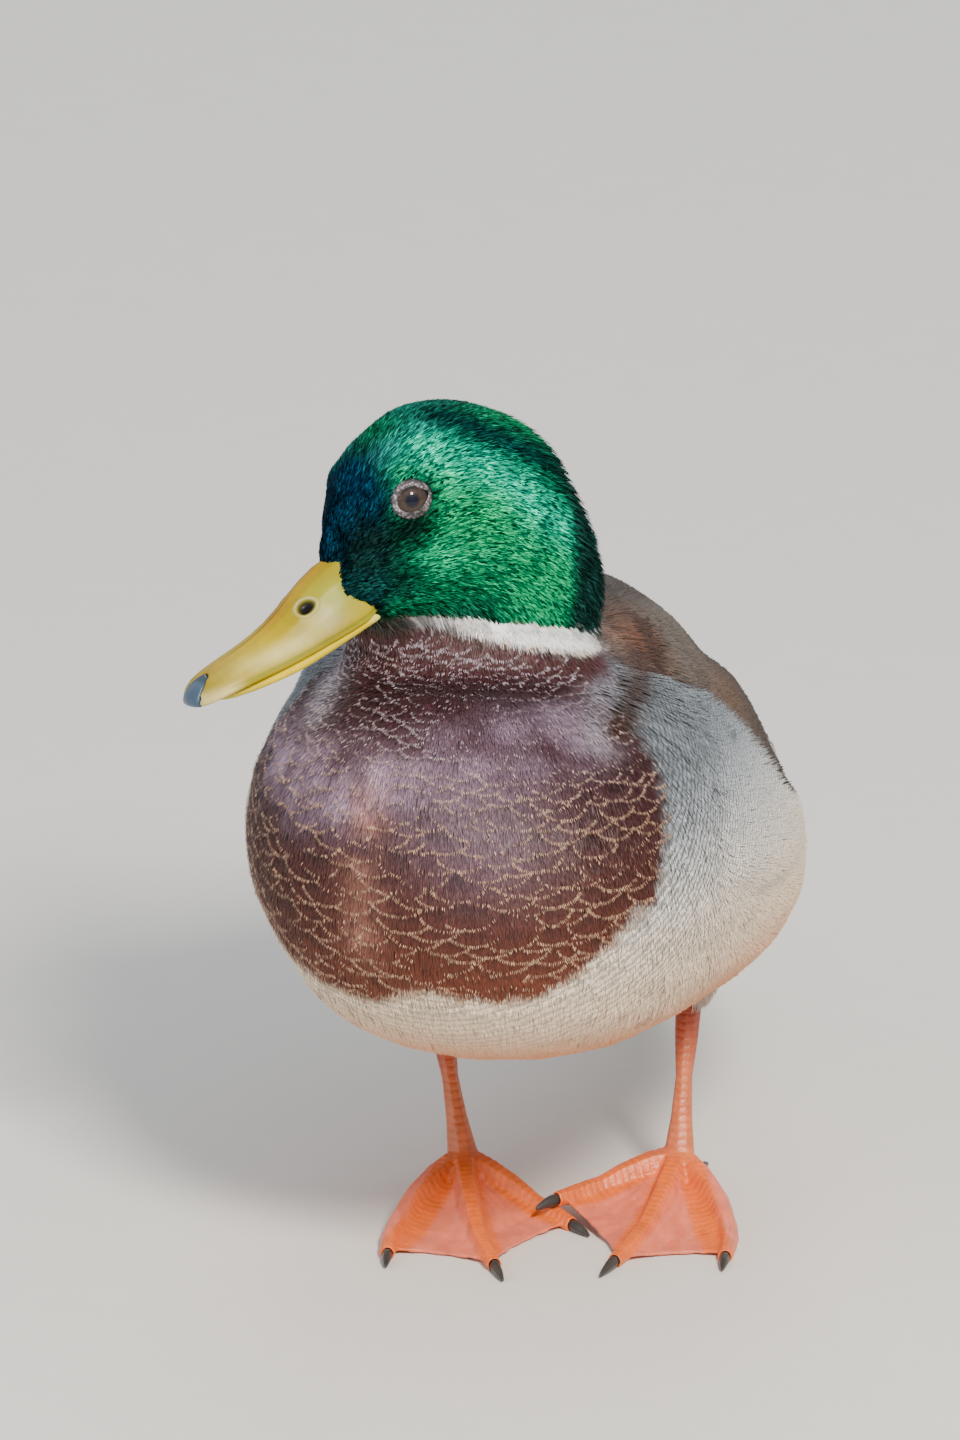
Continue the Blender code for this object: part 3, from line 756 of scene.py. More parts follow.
def settled(roots, length, half_width, lift, turn, steps):
    """Bends each feather to the body: a lattice of its points, laid on the skin and raised."""
    side = np.cross(roots.normal, roots.lie)
    heading = roots.lie * np.cos(turn)[:, None] + side * np.sin(turn)[:, None]
    side = np.cross(roots.normal, heading)
    lattice = np.empty((len(roots), 3, steps, 3))
    for i, u in enumerate((-1, 0, 1)):
        for j in range(steps):
            v = j / (steps - 1)
            spot = roots.point + side * (u * half_width)[:, None] + heading * (v * length)[:, None]
            hits = [skin_tree.find_nearest(point) for point in map(tuple, spot)]
            ground = np.array([tuple(hit[0]) for hit in hits])
            normal = unit(normals[SKIN_FACES[[hit[2] for hit in hits]]].mean(axis=1))
            high = lift[0] + (lift[1] - lift[0]) * v - VANE_CAMBER * u * u * (0.3 + v)
            lattice[:, i, j] = ground + normal * high[:, None]
    return lattice


def lagrange(value, knots):
    """Weights that draw a smooth curve through knots, at each value."""
    weights = np.ones((len(value), len(knots)))
    for k, knot in enumerate(knots):
        for m, other in enumerate(knots):
            if m != k:
                weights[:, k] *= (value - other) / (knot - other)
    return weights


def joined_mesh(name, places, faces, tint, uv, floats, vane):
    """One piece from all its feathers' points and faces, with their colours and maps."""
    mesh = bpy.data.meshes.new(name)
    count = np.array([len(face) for face in faces])
    mesh.vertices.add(places.size // 3)
    mesh.vertices.foreach_set("co", (places * MM).ravel())
    mesh.loops.add(int(count.sum()))
    order = np.concatenate([np.asarray(face) for face in faces]).astype(np.int32)
    mesh.loops.foreach_set("vertex_index", order)
    mesh.polygons.add(len(faces))
    mesh.polygons.foreach_set("loop_start", np.concatenate([[0], np.cumsum(count)[:-1]]).astype(np.int32))
    mesh.update(calc_edges=True)
    mesh.validate()
    give(mesh, "tint", tint.reshape(-1, 3), "FLOAT_COLOR")
    for title, values in floats.items():
        give(mesh, title, values)
    for title, values in (("OFBake", uv), ("Vane", vane)):
        layer = mesh.uv_layers.new(name=title)
        layer.uv.foreach_set("vector", values.reshape(-1, 2)[order].ravel().astype(np.float32))
    mesh.shade_smooth()
    piece = bpy.data.objects.new(name, mesh)
    bpy.context.scene.collection.objects.link(piece)
    return piece


def coat(name, roots, length, half_width, lift, material, barbs, seed, stray=0.08, ruffle=0.05,
         shade=0.07, steps=4):
    """A tract of feathers as one piece; lift is how high each stands at its root and at its tip."""
    random = np.random.default_rng(seed)
    count = len(roots)
    length = np.broadcast_to(length, count) * random.uniform(0.9, 1.1, count)
    half_width = np.broadcast_to(half_width, count) * random.uniform(0.92, 1.08, count)
    low = np.broadcast_to(lift[0], count) + random.normal(0, 0.04, count)
    high = np.broadcast_to(lift[1], count) + random.normal(0, 0.1, count)
    lattice = settled(roots, length, half_width, (low, high), random.normal(0, stray, count), steps)
    across, along, reach, strand, faces = vane_shape(barbs)
    wu = lagrange(across, (-1, 0, 1))
    wv = lagrange(along, [k / (steps - 1) for k in range(steps)])
    places = np.einsum("ki,kj,nijc->nkc", wu, wv, lattice)
    strands = int(strand.max()) + 1
    spark = random.uniform(size=(count, strands))[:, strand]
    rise = random.normal(0, ruffle, (count, strands))[:, strand] * reach
    # Each barb stands a little over the next one along its edge, and barbs end unevenly.
    edge = np.where(np.arange(len(across)) % 7 % 2 == 0, 0.05, -0.05) * (reach < 1)
    places = places + roots.normal[:, None, :] * (rise + edge)[:, :, None]
    stretch = random.uniform(-1, 1, (count, strands))[:, strand] * (reach == 1) * 0.5
    places = places + roots.lie[:, None, :] * stretch[:, :, None]
    tone = 1 + random.normal(0, shade, count)
    tint = np.repeat((roots.colour * tone[:, None])[:, None, :], len(across), axis=1)
    uv = roots.uv[:, None, :] + np.stack([across / 2, along - 0.5], axis=1)[None] * BAKE_PATCH
    vane = np.stack([
        across[None] * half_width[:, None] + random.uniform(0, 90, count)[:, None],
        along[None] * length[:, None] + random.uniform(0, 90, count)[:, None],
    ], axis=2) * MM
    per = len(across)
    shapes = [np.asarray(face) for face in faces]
    all_faces = [face + n * per for n in range(count) for face in shapes]
    floats = {
        "reach": np.tile(reach, count),
        "spark": spark.ravel(),
        "fringe": np.repeat(roots.fringe, per),
        "waves": np.repeat(roots.waves, per),
        "along": np.tile(along, count),
    }
    piece = joined_mesh(name, places, all_faces, tint, uv, floats, vane)
    piece.data.materials.append(material)
    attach(piece, "root")


def hairs(name, roots, length, half_width, lift, material, seed, stray=0.15, shade=0.15, free=False):
    """Feathers so small that each shows as one sliver; free ones leave the skin, others follow it."""
    random = np.random.default_rng(seed)
    count = len(roots)
    length = np.broadcast_to(length, count) * random.uniform(0.75, 1.25, count)
    half_width = np.broadcast_to(half_width, count) * random.uniform(0.7, 1.2, count)
    turn = random.normal(0, stray, count)
    side = np.cross(roots.normal, roots.lie)
    heading = roots.lie * np.cos(turn)[:, None] + side * np.sin(turn)[:, None]
    side = np.cross(roots.normal, heading)
    stations = []
    for v in (0, 0.5, 1):
        spot = roots.point + heading * (v * length)[:, None]
        ground, normal = spot, roots.normal
        if not free:
            hits = [skin_tree.find_nearest(point) for point in map(tuple, spot)]
            ground = np.array([tuple(hit[0]) for hit in hits])
            normal = unit(normals[SKIN_FACES[[hit[2] for hit in hits]]].mean(axis=1))
        high = lift[0] + (np.broadcast_to(lift[1], count) - lift[0]) * v + random.normal(0, 0.12, count) * v
        stations.append(ground + normal * high[:, None])
    roll = random.normal(0, 0.25, count)[:, None] * roots.normal * half_width[:, None]
    wide = side * half_width[:, None] + roll
    root, waist, tip = stations
    places = np.stack([root - wide * 0.6, root + wide * 0.6, waist - wide, waist + wide, tip], axis=1)
    base = np.arange(count)[:, None] * 5
    faces = list(np.array([0, 1, 3, 2]) + base) + list(np.array([2, 3, 4]) + base)
    tone = np.clip(1 + random.normal(0, shade, count), 0.12, 1.6)
    tint = np.repeat((roots.colour * tone[:, None])[:, None, :], 5, axis=1)
    offset = np.array([(-0.5, -0.5), (0.5, -0.5), (-0.5, 0), (0.5, 0), (0, 0.5)]) * BAKE_PATCH
    uv = roots.uv[:, None, :] + offset[None]
    vane = np.tile(offset[None] / BAKE_PATCH * 0.002, (count, 1, 1)) + random.uniform(0, 0.09, (count, 1, 2))
    floats = {
        "reach": np.tile([0, 0, 0.5, 0.5, 1], count),
        "spark": np.repeat(random.uniform(size=count), 5),
        "fringe": np.repeat(roots.fringe, 5),
        "waves": np.repeat(roots.waves, 5),
    }
    piece = joined_mesh(name, places, faces, tint, uv, floats, vane)
    piece.data.materials.append(material)
    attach(piece, "root")


def roots_at(places, headings, hexed):
    """Feather roots at chosen places, each with its own heading, in one colour."""
    hits = [skin_tree.find_nearest(tuple(place)) for place in places]
    made = Roots(np.array([hit[2] for hit in hits]), np.full(len(hits), 0.5), np.full(len(hits), 0.5))
    made.point = np.array([tuple(hit[0]) for hit in hits])
    headings = unit(np.asarray(headings, dtype=float))
    made.lie = unit(headings - made.normal * (headings * made.normal).sum(axis=1)[:, None])
    made.colour = np.tile(linear(hexed), (len(hits), 1))
    made.fringe = made.fringe * 0
    made.waves = made.waves * 0
    return made


# Feathers overlap like tiles. Against a tile's size: half its width, the length of its straight
# sides, how far its round tip stands past them, and the distance past which it covers nothing.
TILE_WIDTH, TILE_LENGTH, TILE_TIP, TILE_REACH = 1.5, 1.3, 0.95, 3.4
NO_TILE = 99.0
BATCH = 4000  # places that are looked at together, to spare memory


def scallops(places, feathers, size):
    """How far in from its tip the feather that shows at each place lies there, or NO_TILE.

    Of the feathers that cover a place, the one rooted furthest ahead shows.
    """
    side = np.cross(feathers.normal, feathers.lie)
    edge = np.full(len(places), NO_TILE)
    for start in range(0, len(places), BATCH):
        away = places[start:start + BATCH, None] - feathers.point
        along = np.einsum("pfc,fc->pf", away, feathers.lie) / size
        across = np.abs(np.einsum("pfc,fc->pf", away, side)) / size
        near = np.einsum("pfc,pfc->pf", away, away) < (TILE_REACH * size) ** 2
        arc = TILE_LENGTH + TILE_TIP * np.sqrt(np.clip(1 - (across / TILE_WIDTH) ** 2, 0, 1))
        covers = near & (across < TILE_WIDTH) & (along > -0.3) & (along < arc)
        order = np.where(covers, along, -9)
        top = order.argmax(axis=1)
        rows = np.arange(len(top))
        inside = ((arc - along) * size)[rows, top]
        edge[start:start + BATCH] = np.where(covers[rows, top], inside, NO_TILE)
    return edge


def tip_edges(feathers, size, step):
    """Places all along the showing tips of feathers that overlap like tiles, and each one's lie."""
    side = np.cross(feathers.normal, feathers.lie)
    places, lies = [], []
    for n in range(len(feathers)):
        turn = np.arange(-1.3, 1.3, step / (1.4 * size[n]))[:, None]
        out = side[n] * TILE_WIDTH * np.sin(turn) + feathers.lie[n] * (TILE_LENGTH + TILE_TIP * np.cos(turn))
        places.append(feathers.point[n] + out * size[n])
        lies.append(unit(feathers.lie[n] + side[n] * 0.6 * np.sin(turn)))
    places, lies = np.concatenate(places), np.concatenate(lies)
    shows = scallops(places - lies * 0.4, feathers, size) < 0.9
    return places[shows], lies[shows]


def to_eyes(places):
    """How far each place is from the nearer eye's front."""
    out = in_head(places)
    eyes = [(EYE_AHEAD, side * EYE_ASIDE[1], EYE_UP) for side in (1, -1)]
    return np.min([np.linalg.norm(out - eye, axis=1) for eye in eyes], axis=0)


throat = near_neck * smooth_step(drop, -4, -2) * smooth_step(collar_width - drop, -4, -2)
throat = throat * smooth_step(-y, 80, 90)
body = (green_share < 0.5) & (throat < 0.5)
breast_zone = (fringe > 0.5) & (green_share < 0.5)
rear = (y > 64) & (share["wing"] < 0.5)
upper = (z > curve(y, FLANK_TOP)) & (y > -104)
rump_tract = (rear & body).astype(float)
mirror_zone = streak(np.c_[np.abs(x - midline(y)), y, z], [(62, -18, 124), (52, 28, 110)], 11) > 0.45
back_tract = (upper & ~rear & ~breast_zone & body & ~mirror_zone).astype(float)
side_tract = (~upper & ~rear & ~breast_zone & body & (share["thigh"] < 0.5)).astype(float)

breast_feather = plumage("breast_feather", 0.5, sheen=0.08, shine=0.4, streaky=0.25, fringe_from=0.7)
side_feather = plumage("side_feather", 0.6, sheen=0.15, streaky=0.04)
back_feather = plumage("back_feather", 0.6, sheen=0.03, shine=0.3, streaky=0.1, fringe_colour="#3A302A",
                       fringe_from=0.75)
green_feather = plumage("green_feather", 0.56, metallic=0.35, shine=0.05, gleam="#18B080", streaky=0.8)
white_feather = plumage("white_feather", 0.6, sheen=0.3, streaky=0.08)
black_feather = plumage("black_feather", 0.4, shine=0.7, streaky=0.3)
ones = np.ones(len(points))
CREST_RISE = 1.9


def crest_of(places):
    """How far the flank's upper edge stands out over the wing, which it laps."""
    y, z = places[:, 1], places[:, 2]
    return CREST_RISE * smooth_step(z - curve(y, FLANK_TOP), -13, -2) * smooth_step(-y, 20, 45)


# Under the fine top layer lie whole vanes.
shoulders = np.linalg.norm(np.c_[np.abs(x), y, z] - (45, -112, 172), axis=1) < 30
roots = spaced((breast_zone & body & ~shoulders).astype(float), ones * 6.0, seed=11)
roots.fringe = roots.fringe * 0
coat("coat_breast", roots, length=17, half_width=7.5, lift=(0.1, 1.2), material=breast_feather,
     barbs=10, seed=21)
roots = spaced(side_tract * ~shoulders, ones * 6.6, seed=12)
tips = roots.point + roots.lie * 20
roots = roots.kept((tips[:, 2] < curve(tips[:, 1], FLANK_TOP) - 1) & (roots.colour.mean(axis=1) > 0.16))
crest = crest_of(roots.point)
coat("coat_sides", roots, length=22, half_width=8.5, lift=(0.1, 1.2 + crest), material=side_feather,
     barbs=12, stray=0.04, ruffle=0.02, shade=0.02, seed=22)
roots = spaced(back_tract, ones * 8.0, seed=13)
roots.fringe = roots.fringe * 0 + 0.4
coat("coat_back", roots, length=28, half_width=8.5, lift=(0.2, 1.6), material=back_feather,
     barbs=18, stray=0.04, shade=0.05, seed=23)
roots = spaced(rump_tract, ones * 6.5, seed=14)
roots.fringe = roots.fringe * 0
coat("coat_rump", roots, length=20, half_width=6.5, lift=(0.3, 2.0), material=black_feather,
     barbs=14, seed=24)
roots = spaced((share["thigh"] > 0.5).astype(float), ones * 3.2, seed=15)
coat("coat_thighs", roots, length=6, half_width=3.2, lift=(0.2, 1.6), material=white_feather,
     barbs=8, seed=25)

# The loose ends that hang over each thigh's lower edge.
thigh_ends = (share["thigh"] > 0.5) & (z < 66) & (normals[:, 2] > -0.6)
roots = scattered(thigh_ends.astype(float), count=5000, seed=18)
roots.lie = unit(roots.normal * 0.12 + np.array([0, 0.1, -1]))
hairs("coat_thigh_tufts", roots, length=5.5, half_width=0.3, lift=(0.3, 0.8), material=white_feather,
      stray=0.2, seed=28, free=True)


def tile_sizes(heights):
    """The size of the breast's feathers by height: small at the neck and larger below."""
    return 3.1 + 2.3 * smooth_step(-heights, -188, -140)


# The breast's top layer: barbs painted darker towards each feather's hidden root, as painted shade under the
# feather that laps over it, and raised at its tip.
tiles = spaced(breast_zone.astype(float), tile_sizes(z) * 0.9, seed=31)
top_zone = breast_zone | (throat > 0.5)
for k, half in enumerate((x > midline(y), x <= midline(y))):
    roots = scattered((top_zone & half).astype(float), count=46000, seed=32 + k)
    long = 4.4 + 2.2 * smooth_step(-roots.point[:, 2], -185, -150)
    roots.coloured_ahead(long * 0.75)
    chosen = (roots.green < 0.5) & (roots.white < 0.5)
    roots, long = roots.kept(chosen), long[chosen]
    inside = scallops(roots.point + roots.lie * long[:, None] * 0.9, tiles, tile_sizes(tiles.point[:, 2]))
    shown = inside < NO_TILE
    # Painted light and shade: lighter at each feather's tip, darker deeper under the next one.
    roots.colour = roots.colour * (1.2 - 0.55 * smooth_step(inside, 0.8, 5) * shown)[:, None]
    roots.fringe = roots.fringe * 0
    rise = 0.5 * (1 - smooth_step(inside, 0, 8)) * shown
    hairs(f"coat_breast_barbs_{k + 1}", roots, length=long, half_width=0.28, lift=(0.6, 2.0 + rise),
          material=breast_feather, stray=0.06, shade=0.12, seed=34 + k)

# The pale barbs' ends that edge each breast feather: a row of short dashes round its tip.
EDGE_STEP, EDGE_LENGTH = 0.5, 1.0
random = np.random.default_rng(71)
ends, lies = tip_edges(tiles, tile_sizes(tiles.point[:, 2]), EDGE_STEP)
ends = ends + lies * random.normal(0, 0.1, len(ends))[:, None]
picked = random.uniform(size=len(ends)) < 0.68 + 0.5 * ripple(ends, 14, seed=9)
picked = picked & (ends[:, 1] < breast_reach(ends) + 2)
roots = roots_at((ends - lies * EDGE_LENGTH)[picked], lies[picked], "#AA886E")
high_up = smooth_step(roots.point[:, 2], 150, 180)[:, None]
roots.colour = roots.colour * (1 - high_up) + linear("#9A8C94") * high_up
hairs("coat_breast_edges", roots, length=EDGE_LENGTH, half_width=0.1, lift=(2.4, 2.8),
      material=breast_feather, stray=0.08, shade=0.3, seed=36)

# The flanks' top layer: long, silky barbs, a little raised at each feather's tip and paler there, as a
# painted highlight.
SIDE_TILE, SIDE_RISE = 9.0, 0.45
tiles = spaced(side_tract, ones * SIDE_TILE, seed=51)
for k, half in enumerate((x > midline(y), x <= midline(y))):
    roots = scattered(side_tract * half, count=50000, seed=52 + k)
    roots.coloured_ahead(4.5)
    inside = scallops(roots.point + roots.lie * 7, tiles, np.full(len(tiles), SIDE_TILE))
    rise = SIDE_RISE * (1 - smooth_step(inside, 0, 7)) * (inside < NO_TILE)
    # Painted highlight on each feather's raised tip.
    roots.colour = roots.colour * (0.97 + 0.05 * rise / SIDE_RISE)[:, None]
    crest = crest_of(roots.point)
    roots.fringe = roots.fringe * 0
    hairs(f"coat_side_barbs_{k + 1}", roots, length=7.0, half_width=0.42, lift=(0.5, 1.9 + rise + crest),
          material=side_feather, stray=0.05, shade=0.02, seed=54 + k)

# The top layer of back and wings: brown barbs, darker along each feather's edge.
BACK_TILE = 11.0
front_back = back_tract * (share["wing"] + (y < 40) > 0.5)
tiles = spaced(front_back, ones * BACK_TILE, seed=61)
roots = scattered(front_back, count=50000, seed=62)
inside = scallops(roots.point + roots.lie * 8, tiles, np.full(len(tiles), BACK_TILE))
shown = inside < NO_TILE
rise = 0.7 * (1 - smooth_step(inside, 0, 9)) * shown
roots.colour = roots.colour * (1.08 - 0.42 * (1 - smooth_step(inside, 0.8, 1.8)) * shown)[:, None]
roots.fringe = roots.fringe * 0
hairs("coat_back_barbs", roots, length=8.0, half_width=0.42, lift=(0.6, 2.0 + rise),
      material=back_feather, stray=0.05, shade=0.05, seed=64)

roots = scattered((throat > 0.3).astype(float), count=22000, seed=16).coloured_ahead(3.2)
roots = roots.kept((roots.white > 0.5) & (roots.green < 0.5))
hairs("coat_collar", roots, length=4.5, half_width=0.35, lift=(0.4, 2.3), material=white_feather,
      stray=0.12, shade=0.05, seed=26)

# The head's short, glossy strands: shortest by the bill and the eyes, longer and looser at the nape.
green_zone = (green_share > 0.45) & (to_eyes(points) > LID_REACH)
roots = scattered(green_zone.astype(float), count=64000, seed=17)
near_bill = smooth_step(in_head(roots.point)[:, 0], 10, 30)
near_eye = 1 - smooth_step(to_eyes(roots.point), 6, 13)
nape = smooth_step(-in_head(roots.point)[:, 0], 20, 30)
long = (5.0 + 2.5 * nape) * (1 - 0.62 * np.maximum(near_bill, near_eye))
high = 1.3 + 0.9 * nape - 0.8 * near_bill - 0.5 * near_eye
loose = nape * (np.random.default_rng(29).uniform(size=len(roots)) < 0.12)
long, high = long + 2.5 * loose, high + 1.3 * loose
keep = roots.coloured_ahead(long * 0.7).green > 0.5
fine = (0.36 - 0.12 * near_bill)[keep]
hairs("coat_head", roots.kept(keep), length=long[keep], half_width=fine, lift=(0.1, high[keep]),
      material=green_feather, shade=0.6, seed=27)


# ---- Bill ----------------------------------------------------------------------------------------
# Upper and lower bill: bone under a leathery sheath of horn, high at the face and flat at the tip,
# with a bead along the rim, a nostril through each side and a hard dark nail at the end.

BILL_GRAIN, NAIL_GRAIN = 0.42, 0.35  # size of the faces
NOSTRIL = (46.0, -11.5)  # ahead, up
NOSTRIL_SIZE = (2.3, 1.5)
NOSTRIL_DEPTH, NOSTRIL_SLANT = 1.4, 0.45
BEAD = 1.7  # height of the rim's bead
GROOVE_DEPTH = 0.28
LOWER_SWELL = 0.45  # the lower bill shows as a bright bead under the rim
LOWER_CLOSES = (0.9, 2.4)  # how far the lower bill is shut, at its tip and at the gape


def shaped(piece, moves):
    """Moves each corner of a piece outwards by so much (inwards where it is less than nothing)."""
    places = corners(piece.data)
    set_corners(piece.data, places + outwards(piece.data) * moves[:, None])


def lower_edge(ahead, up):
    """The height of the rim along the bill, from the bill's own lowest corners."""
    steps = np.arange(ahead.min() + 1, ahead.max() - 1, 2.0)
    lows = [up[np.abs(ahead - step) < 1.2].min() for step in steps]
    return np.interp(ahead, steps, lows)


upper = remeshed(solids_joined("bill_sheath", ["bill_upper"], 0), BILL_GRAIN, rounds=10)
ahead, aside, high = in_head(corners(upper.data)).T
rim = high - lower_edge(ahead, high)
climb = high - NOSTRIL[1]
stretch = ahead - NOSTRIL[0] + NOSTRIL_SLANT * climb
hole = (stretch / NOSTRIL_SIZE[0]) ** 2 + (climb / NOSTRIL_SIZE[1]) ** 2
flank = smooth_step(np.abs(aside), 1.5, 3)
sink = -NOSTRIL_DEPTH * np.exp(-hole ** 2.2) * flank
lip = 0.22 * np.exp(-((np.sqrt(hole) - 1.3) / 0.25) ** 2) * flank
groove = -GROOVE_DEPTH * np.exp(-((rim - BEAD - 0.6) / 0.5) ** 2) * smooth_step(np.abs(aside), 2, 5)
shaped(upper, sink + lip + groove)

ridge = smooth_step(-np.abs(aside), -5, -1)
base = smooth_step(-ahead, -40, -29)
tone = np.tile(linear("#927E00"), (len(ahead), 1))
tone = painted(tone, "#A67A00", ridge * 0.9)
tone = painted(tone, "#B49C00", spot(np.c_[ahead, rim], (66, 9), (10, 5)) * 0.9)
keel = smooth_step(-np.abs(aside), -0.8, -0.3) * smooth_step(ahead, 44, 50)
tone = painted(tone, "#6E5410", keel * smooth_step(-ahead, -74, -68) * 0.7)
tone = painted(tone, "#A09A10", base * 0.5)
tone = painted(tone, "#8F9E3A", spot(np.c_[ahead, rim], (38, 12), (9, 5)) * 0.6)
# A long pale band along the side towards the tip, and a pale spot behind the nostril: painted highlights.
tone = painted(tone, "#D6D08C", spot(np.c_[ahead, rim], (58, 5.5), (15, 2.2)) * 0.6)
tone = painted(tone, "#D0C8A0", spot(np.c_[ahead, rim], (42, 8), (4, 3)) * 0.4)
shadow = np.exp(-((rim - BEAD - 0.6) / 0.6) ** 2) * smooth_step(np.abs(aside), 2, 5)
tone = painted(tone, "#6C7A22", shadow * 0.55)
tone = painted(tone, "#D9C98A", smooth_step(ahead, 70, 80) * smooth_step(-rim, -5, -2) * 0.7)
tone = painted(tone, "#C8C29A", np.exp(-((np.sqrt(hole) - 1.3) / 0.16) ** 2) * flank * 0.45)
# The nostril's hole painted near black: painted shade inside it.
tone = painted(tone, "#07040A", np.exp(-(0.85 * hole) ** 4) * flank)
give(upper.data, "tint", tone, "FLOAT_COLOR")

lower = remeshed(solids_joined("bill_underside", ["bill_lower"], 0), BILL_GRAIN, rounds=4)
shaped(lower, np.full(len(lower.data.vertices), LOWER_SWELL))
places = corners(lower.data)
ahead = in_head(places)[:, 0]
closing = LOWER_CLOSES[0] + (LOWER_CLOSES[1] - LOWER_CLOSES[0]) * smooth_step(-ahead, -58, -30)
set_corners(lower.data, places + np.array(HEAD_UP) * closing[:, None])
tone = painted(np.tile(linear("#D0B800"), (len(ahead), 1)), "#B8A83A", smooth_step(ahead, 60, 80))
tone = painted(tone, "#DCD27A", smooth_step(-ahead, -32, -27) * 0.7)
give(lower.data, "tint", tone, "FLOAT_COLOR")

tip = remeshed(solids_joined("bill_tip", ["bill_nail"], 0.05), NAIL_GRAIN, rounds=5)
ahead, aside, high = in_head(corners(tip.data)).T
tone = painted(np.tile(linear("#42566A"), (len(ahead), 1)), "#1E2830", smooth_step(-ahead, -82, -80) * 0.5)
give(tip.data, "tint", tone, "FLOAT_COLOR")


def sheath(name, roughness, mottle, gloss):
    """Bill horn: smooth and leathery, a little see-through, with a thin wet-looking gloss."""
    material, tree = new_material(name)
    place = here(tree)
    tone = between(tree, cloudy(tree, place, 120.0, 5.0), 0.3, 0.7, 1 - mottle, 1 + mottle)
    hue = scaled(tree, carried(tree, "tint", "Color"), tone)
    surface(tree, hue, relief(tree, cloudy(tree, place, 1400.0), 0.12, 0.3 * MM), Roughness=roughness,
            Specular_IOR_Level=0.15, Coat_Weight=gloss, Coat_Roughness=0.3, Subsurface_Weight=0.03,
            Subsurface_Radius=(0.0015, 0.001, 0.0003))
    return material


yellow_sheath = sheath("yellow_sheath", 0.45, 0.1, 0.08)
slate_horn = sheath("slate_horn", 0.35, 0.25, 0.3)
for piece, solid, material, slot in (
    (upper, "bill_upper", yellow_sheath, "yellow_horn"),
    (lower, "bill_lower", yellow_sheath, "yellow_horn"),
    (tip, "bill_nail", slate_horn, "grey_horn"),
):
    piece.data.materials.append(material)
    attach(piece, "root")
    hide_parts(solid)


# ---- Eyes ----------------------------------------------------------------------------------------
# Each eye is a wet ball with a brown iris, set in the head under bare, mottled lids that leave an
# oval opening of about 8 by 6.5 mm.

EYE_RADIUS = 6.0
GAZE = (0.30, 0.95, 0.06)  # ahead, aside, up
IRIS_RADIUS, PUPIL_RADIUS = 4.4, 1.55
LID_OPENING = (45, 34)  # degrees from the gaze, along and up
LID_WIDTH = 27
LID_RISE = 0.75
LID_FOLDS, LID_FOLD_DEPTH = 9, 0.12


def eye_axes(side):
    gaze = (HEAD_AHEAD * GAZE[0] + HEAD_LEFT * GAZE[1] * side + HEAD_UP * GAZE[2]).normalized()
    along = (HEAD_AHEAD - gaze * HEAD_AHEAD.dot(gaze)).normalized()
    return gaze, along, gaze.cross(along) * side


def banded(tree, value, marks):
    """Colours in bands along a value, from (place, colour) pairs."""
    made = node(tree, "ShaderNodeValToRGB", Fac=value)
    stops = made.color_ramp.elements
    while len(stops) < len(marks):
        stops.new(0.5)
    for stop, (place, hexed) in zip(stops, marks):
        stop.position = place
        stop.color = (*linear(hexed), 1)
    return made.outputs["Color"]


def wet_eye():
    """Eyeball: a dark pupil and a brown iris with fine spokes, under a clear, wet cornea."""
    material, tree = new_material("wet_eye")
    gaze = node(tree, "ShaderNodeUVMap", {"uv_map": "Gaze"}).outputs["UV"]
    away = node(tree, "ShaderNodeSeparateXYZ", Vector=gaze).outputs["X"]
    pupil, iris = PUPIL_RADIUS / EYE_RADIUS, IRIS_RADIUS / EYE_RADIUS
    marks = [(0.0, "#03081E"), (pupil - 0.012, "#03081E"), (pupil + 0.012, "#1A1412"), (0.42, "#3A2E2A"),
             (iris - 0.06, "#302622"), (iris + 0.01, "#060403")]
    spokes = between(tree, cloudy(tree, gaze, 9.0), 0.3, 0.7, 0.75, 1.2)
    surface(tree, scaled(tree, banded(tree, away, marks), spokes), Roughness=0.5, Specular_IOR_Level=0.1,
            Coat_Weight=0.7, Coat_Roughness=0.02, Coat_IOR=1.34)
    return material


def lid_finish():
    """Eyelid: bare skin in tiny pale scales, grey-pink, dark where it meets the feathers."""
    material, tree = new_material("bare_lid")
    cells = node(tree, "ShaderNodeTexVoronoi", {}, {"Scale": 1100.0}, Vector=here(tree)).outputs["Distance"]
    hue = scaled(tree, carried(tree, "tint", "Color"), between(tree, cells, 0.15, 0.65, 1.3, 0.2))
    surface(tree, hue, relief(tree, times(tree, cells, -1.0), 0.6, 0.4 * MM), Roughness=0.5)
    return material


def eyeball(hand, side):
    gaze, along, rise = eye_axes(side)
    centre = middle("eye_" + hand)
    form = bmesh.new()
    bmesh.ops.create_uvsphere(form, u_segments=48, v_segments=32, radius=EYE_RADIUS)
    turn = Matrix((along, rise * side, gaze)).transposed()
    if turn.determinant() < 0:
        turn = Matrix((rise * side, along, gaze)).transposed()
    layer = form.loops.layers.uv.new("Gaze")
    for face in form.faces:
        for loop in face.loops:
            spot = loop.vert.co
            out = (spot.x ** 2 + spot.y ** 2) ** 0.5 / EYE_RADIUS
            loop[layer].uv = (out if spot.z > 0 else 1, np.arctan2(spot.y, spot.x) / pi if out > 0.01 else 0)
    place = Matrix.Translation(centre * MM) @ (turn.to_4x4() @ Matrix.Scale(MM, 4))
    bmesh.ops.transform(form, matrix=place, verts=form.verts)
    mesh = bpy.data.meshes.new("eyeball_" + hand)
    form.to_mesh(mesh)
    form.free()
    mesh.shade_smooth()
    return mesh


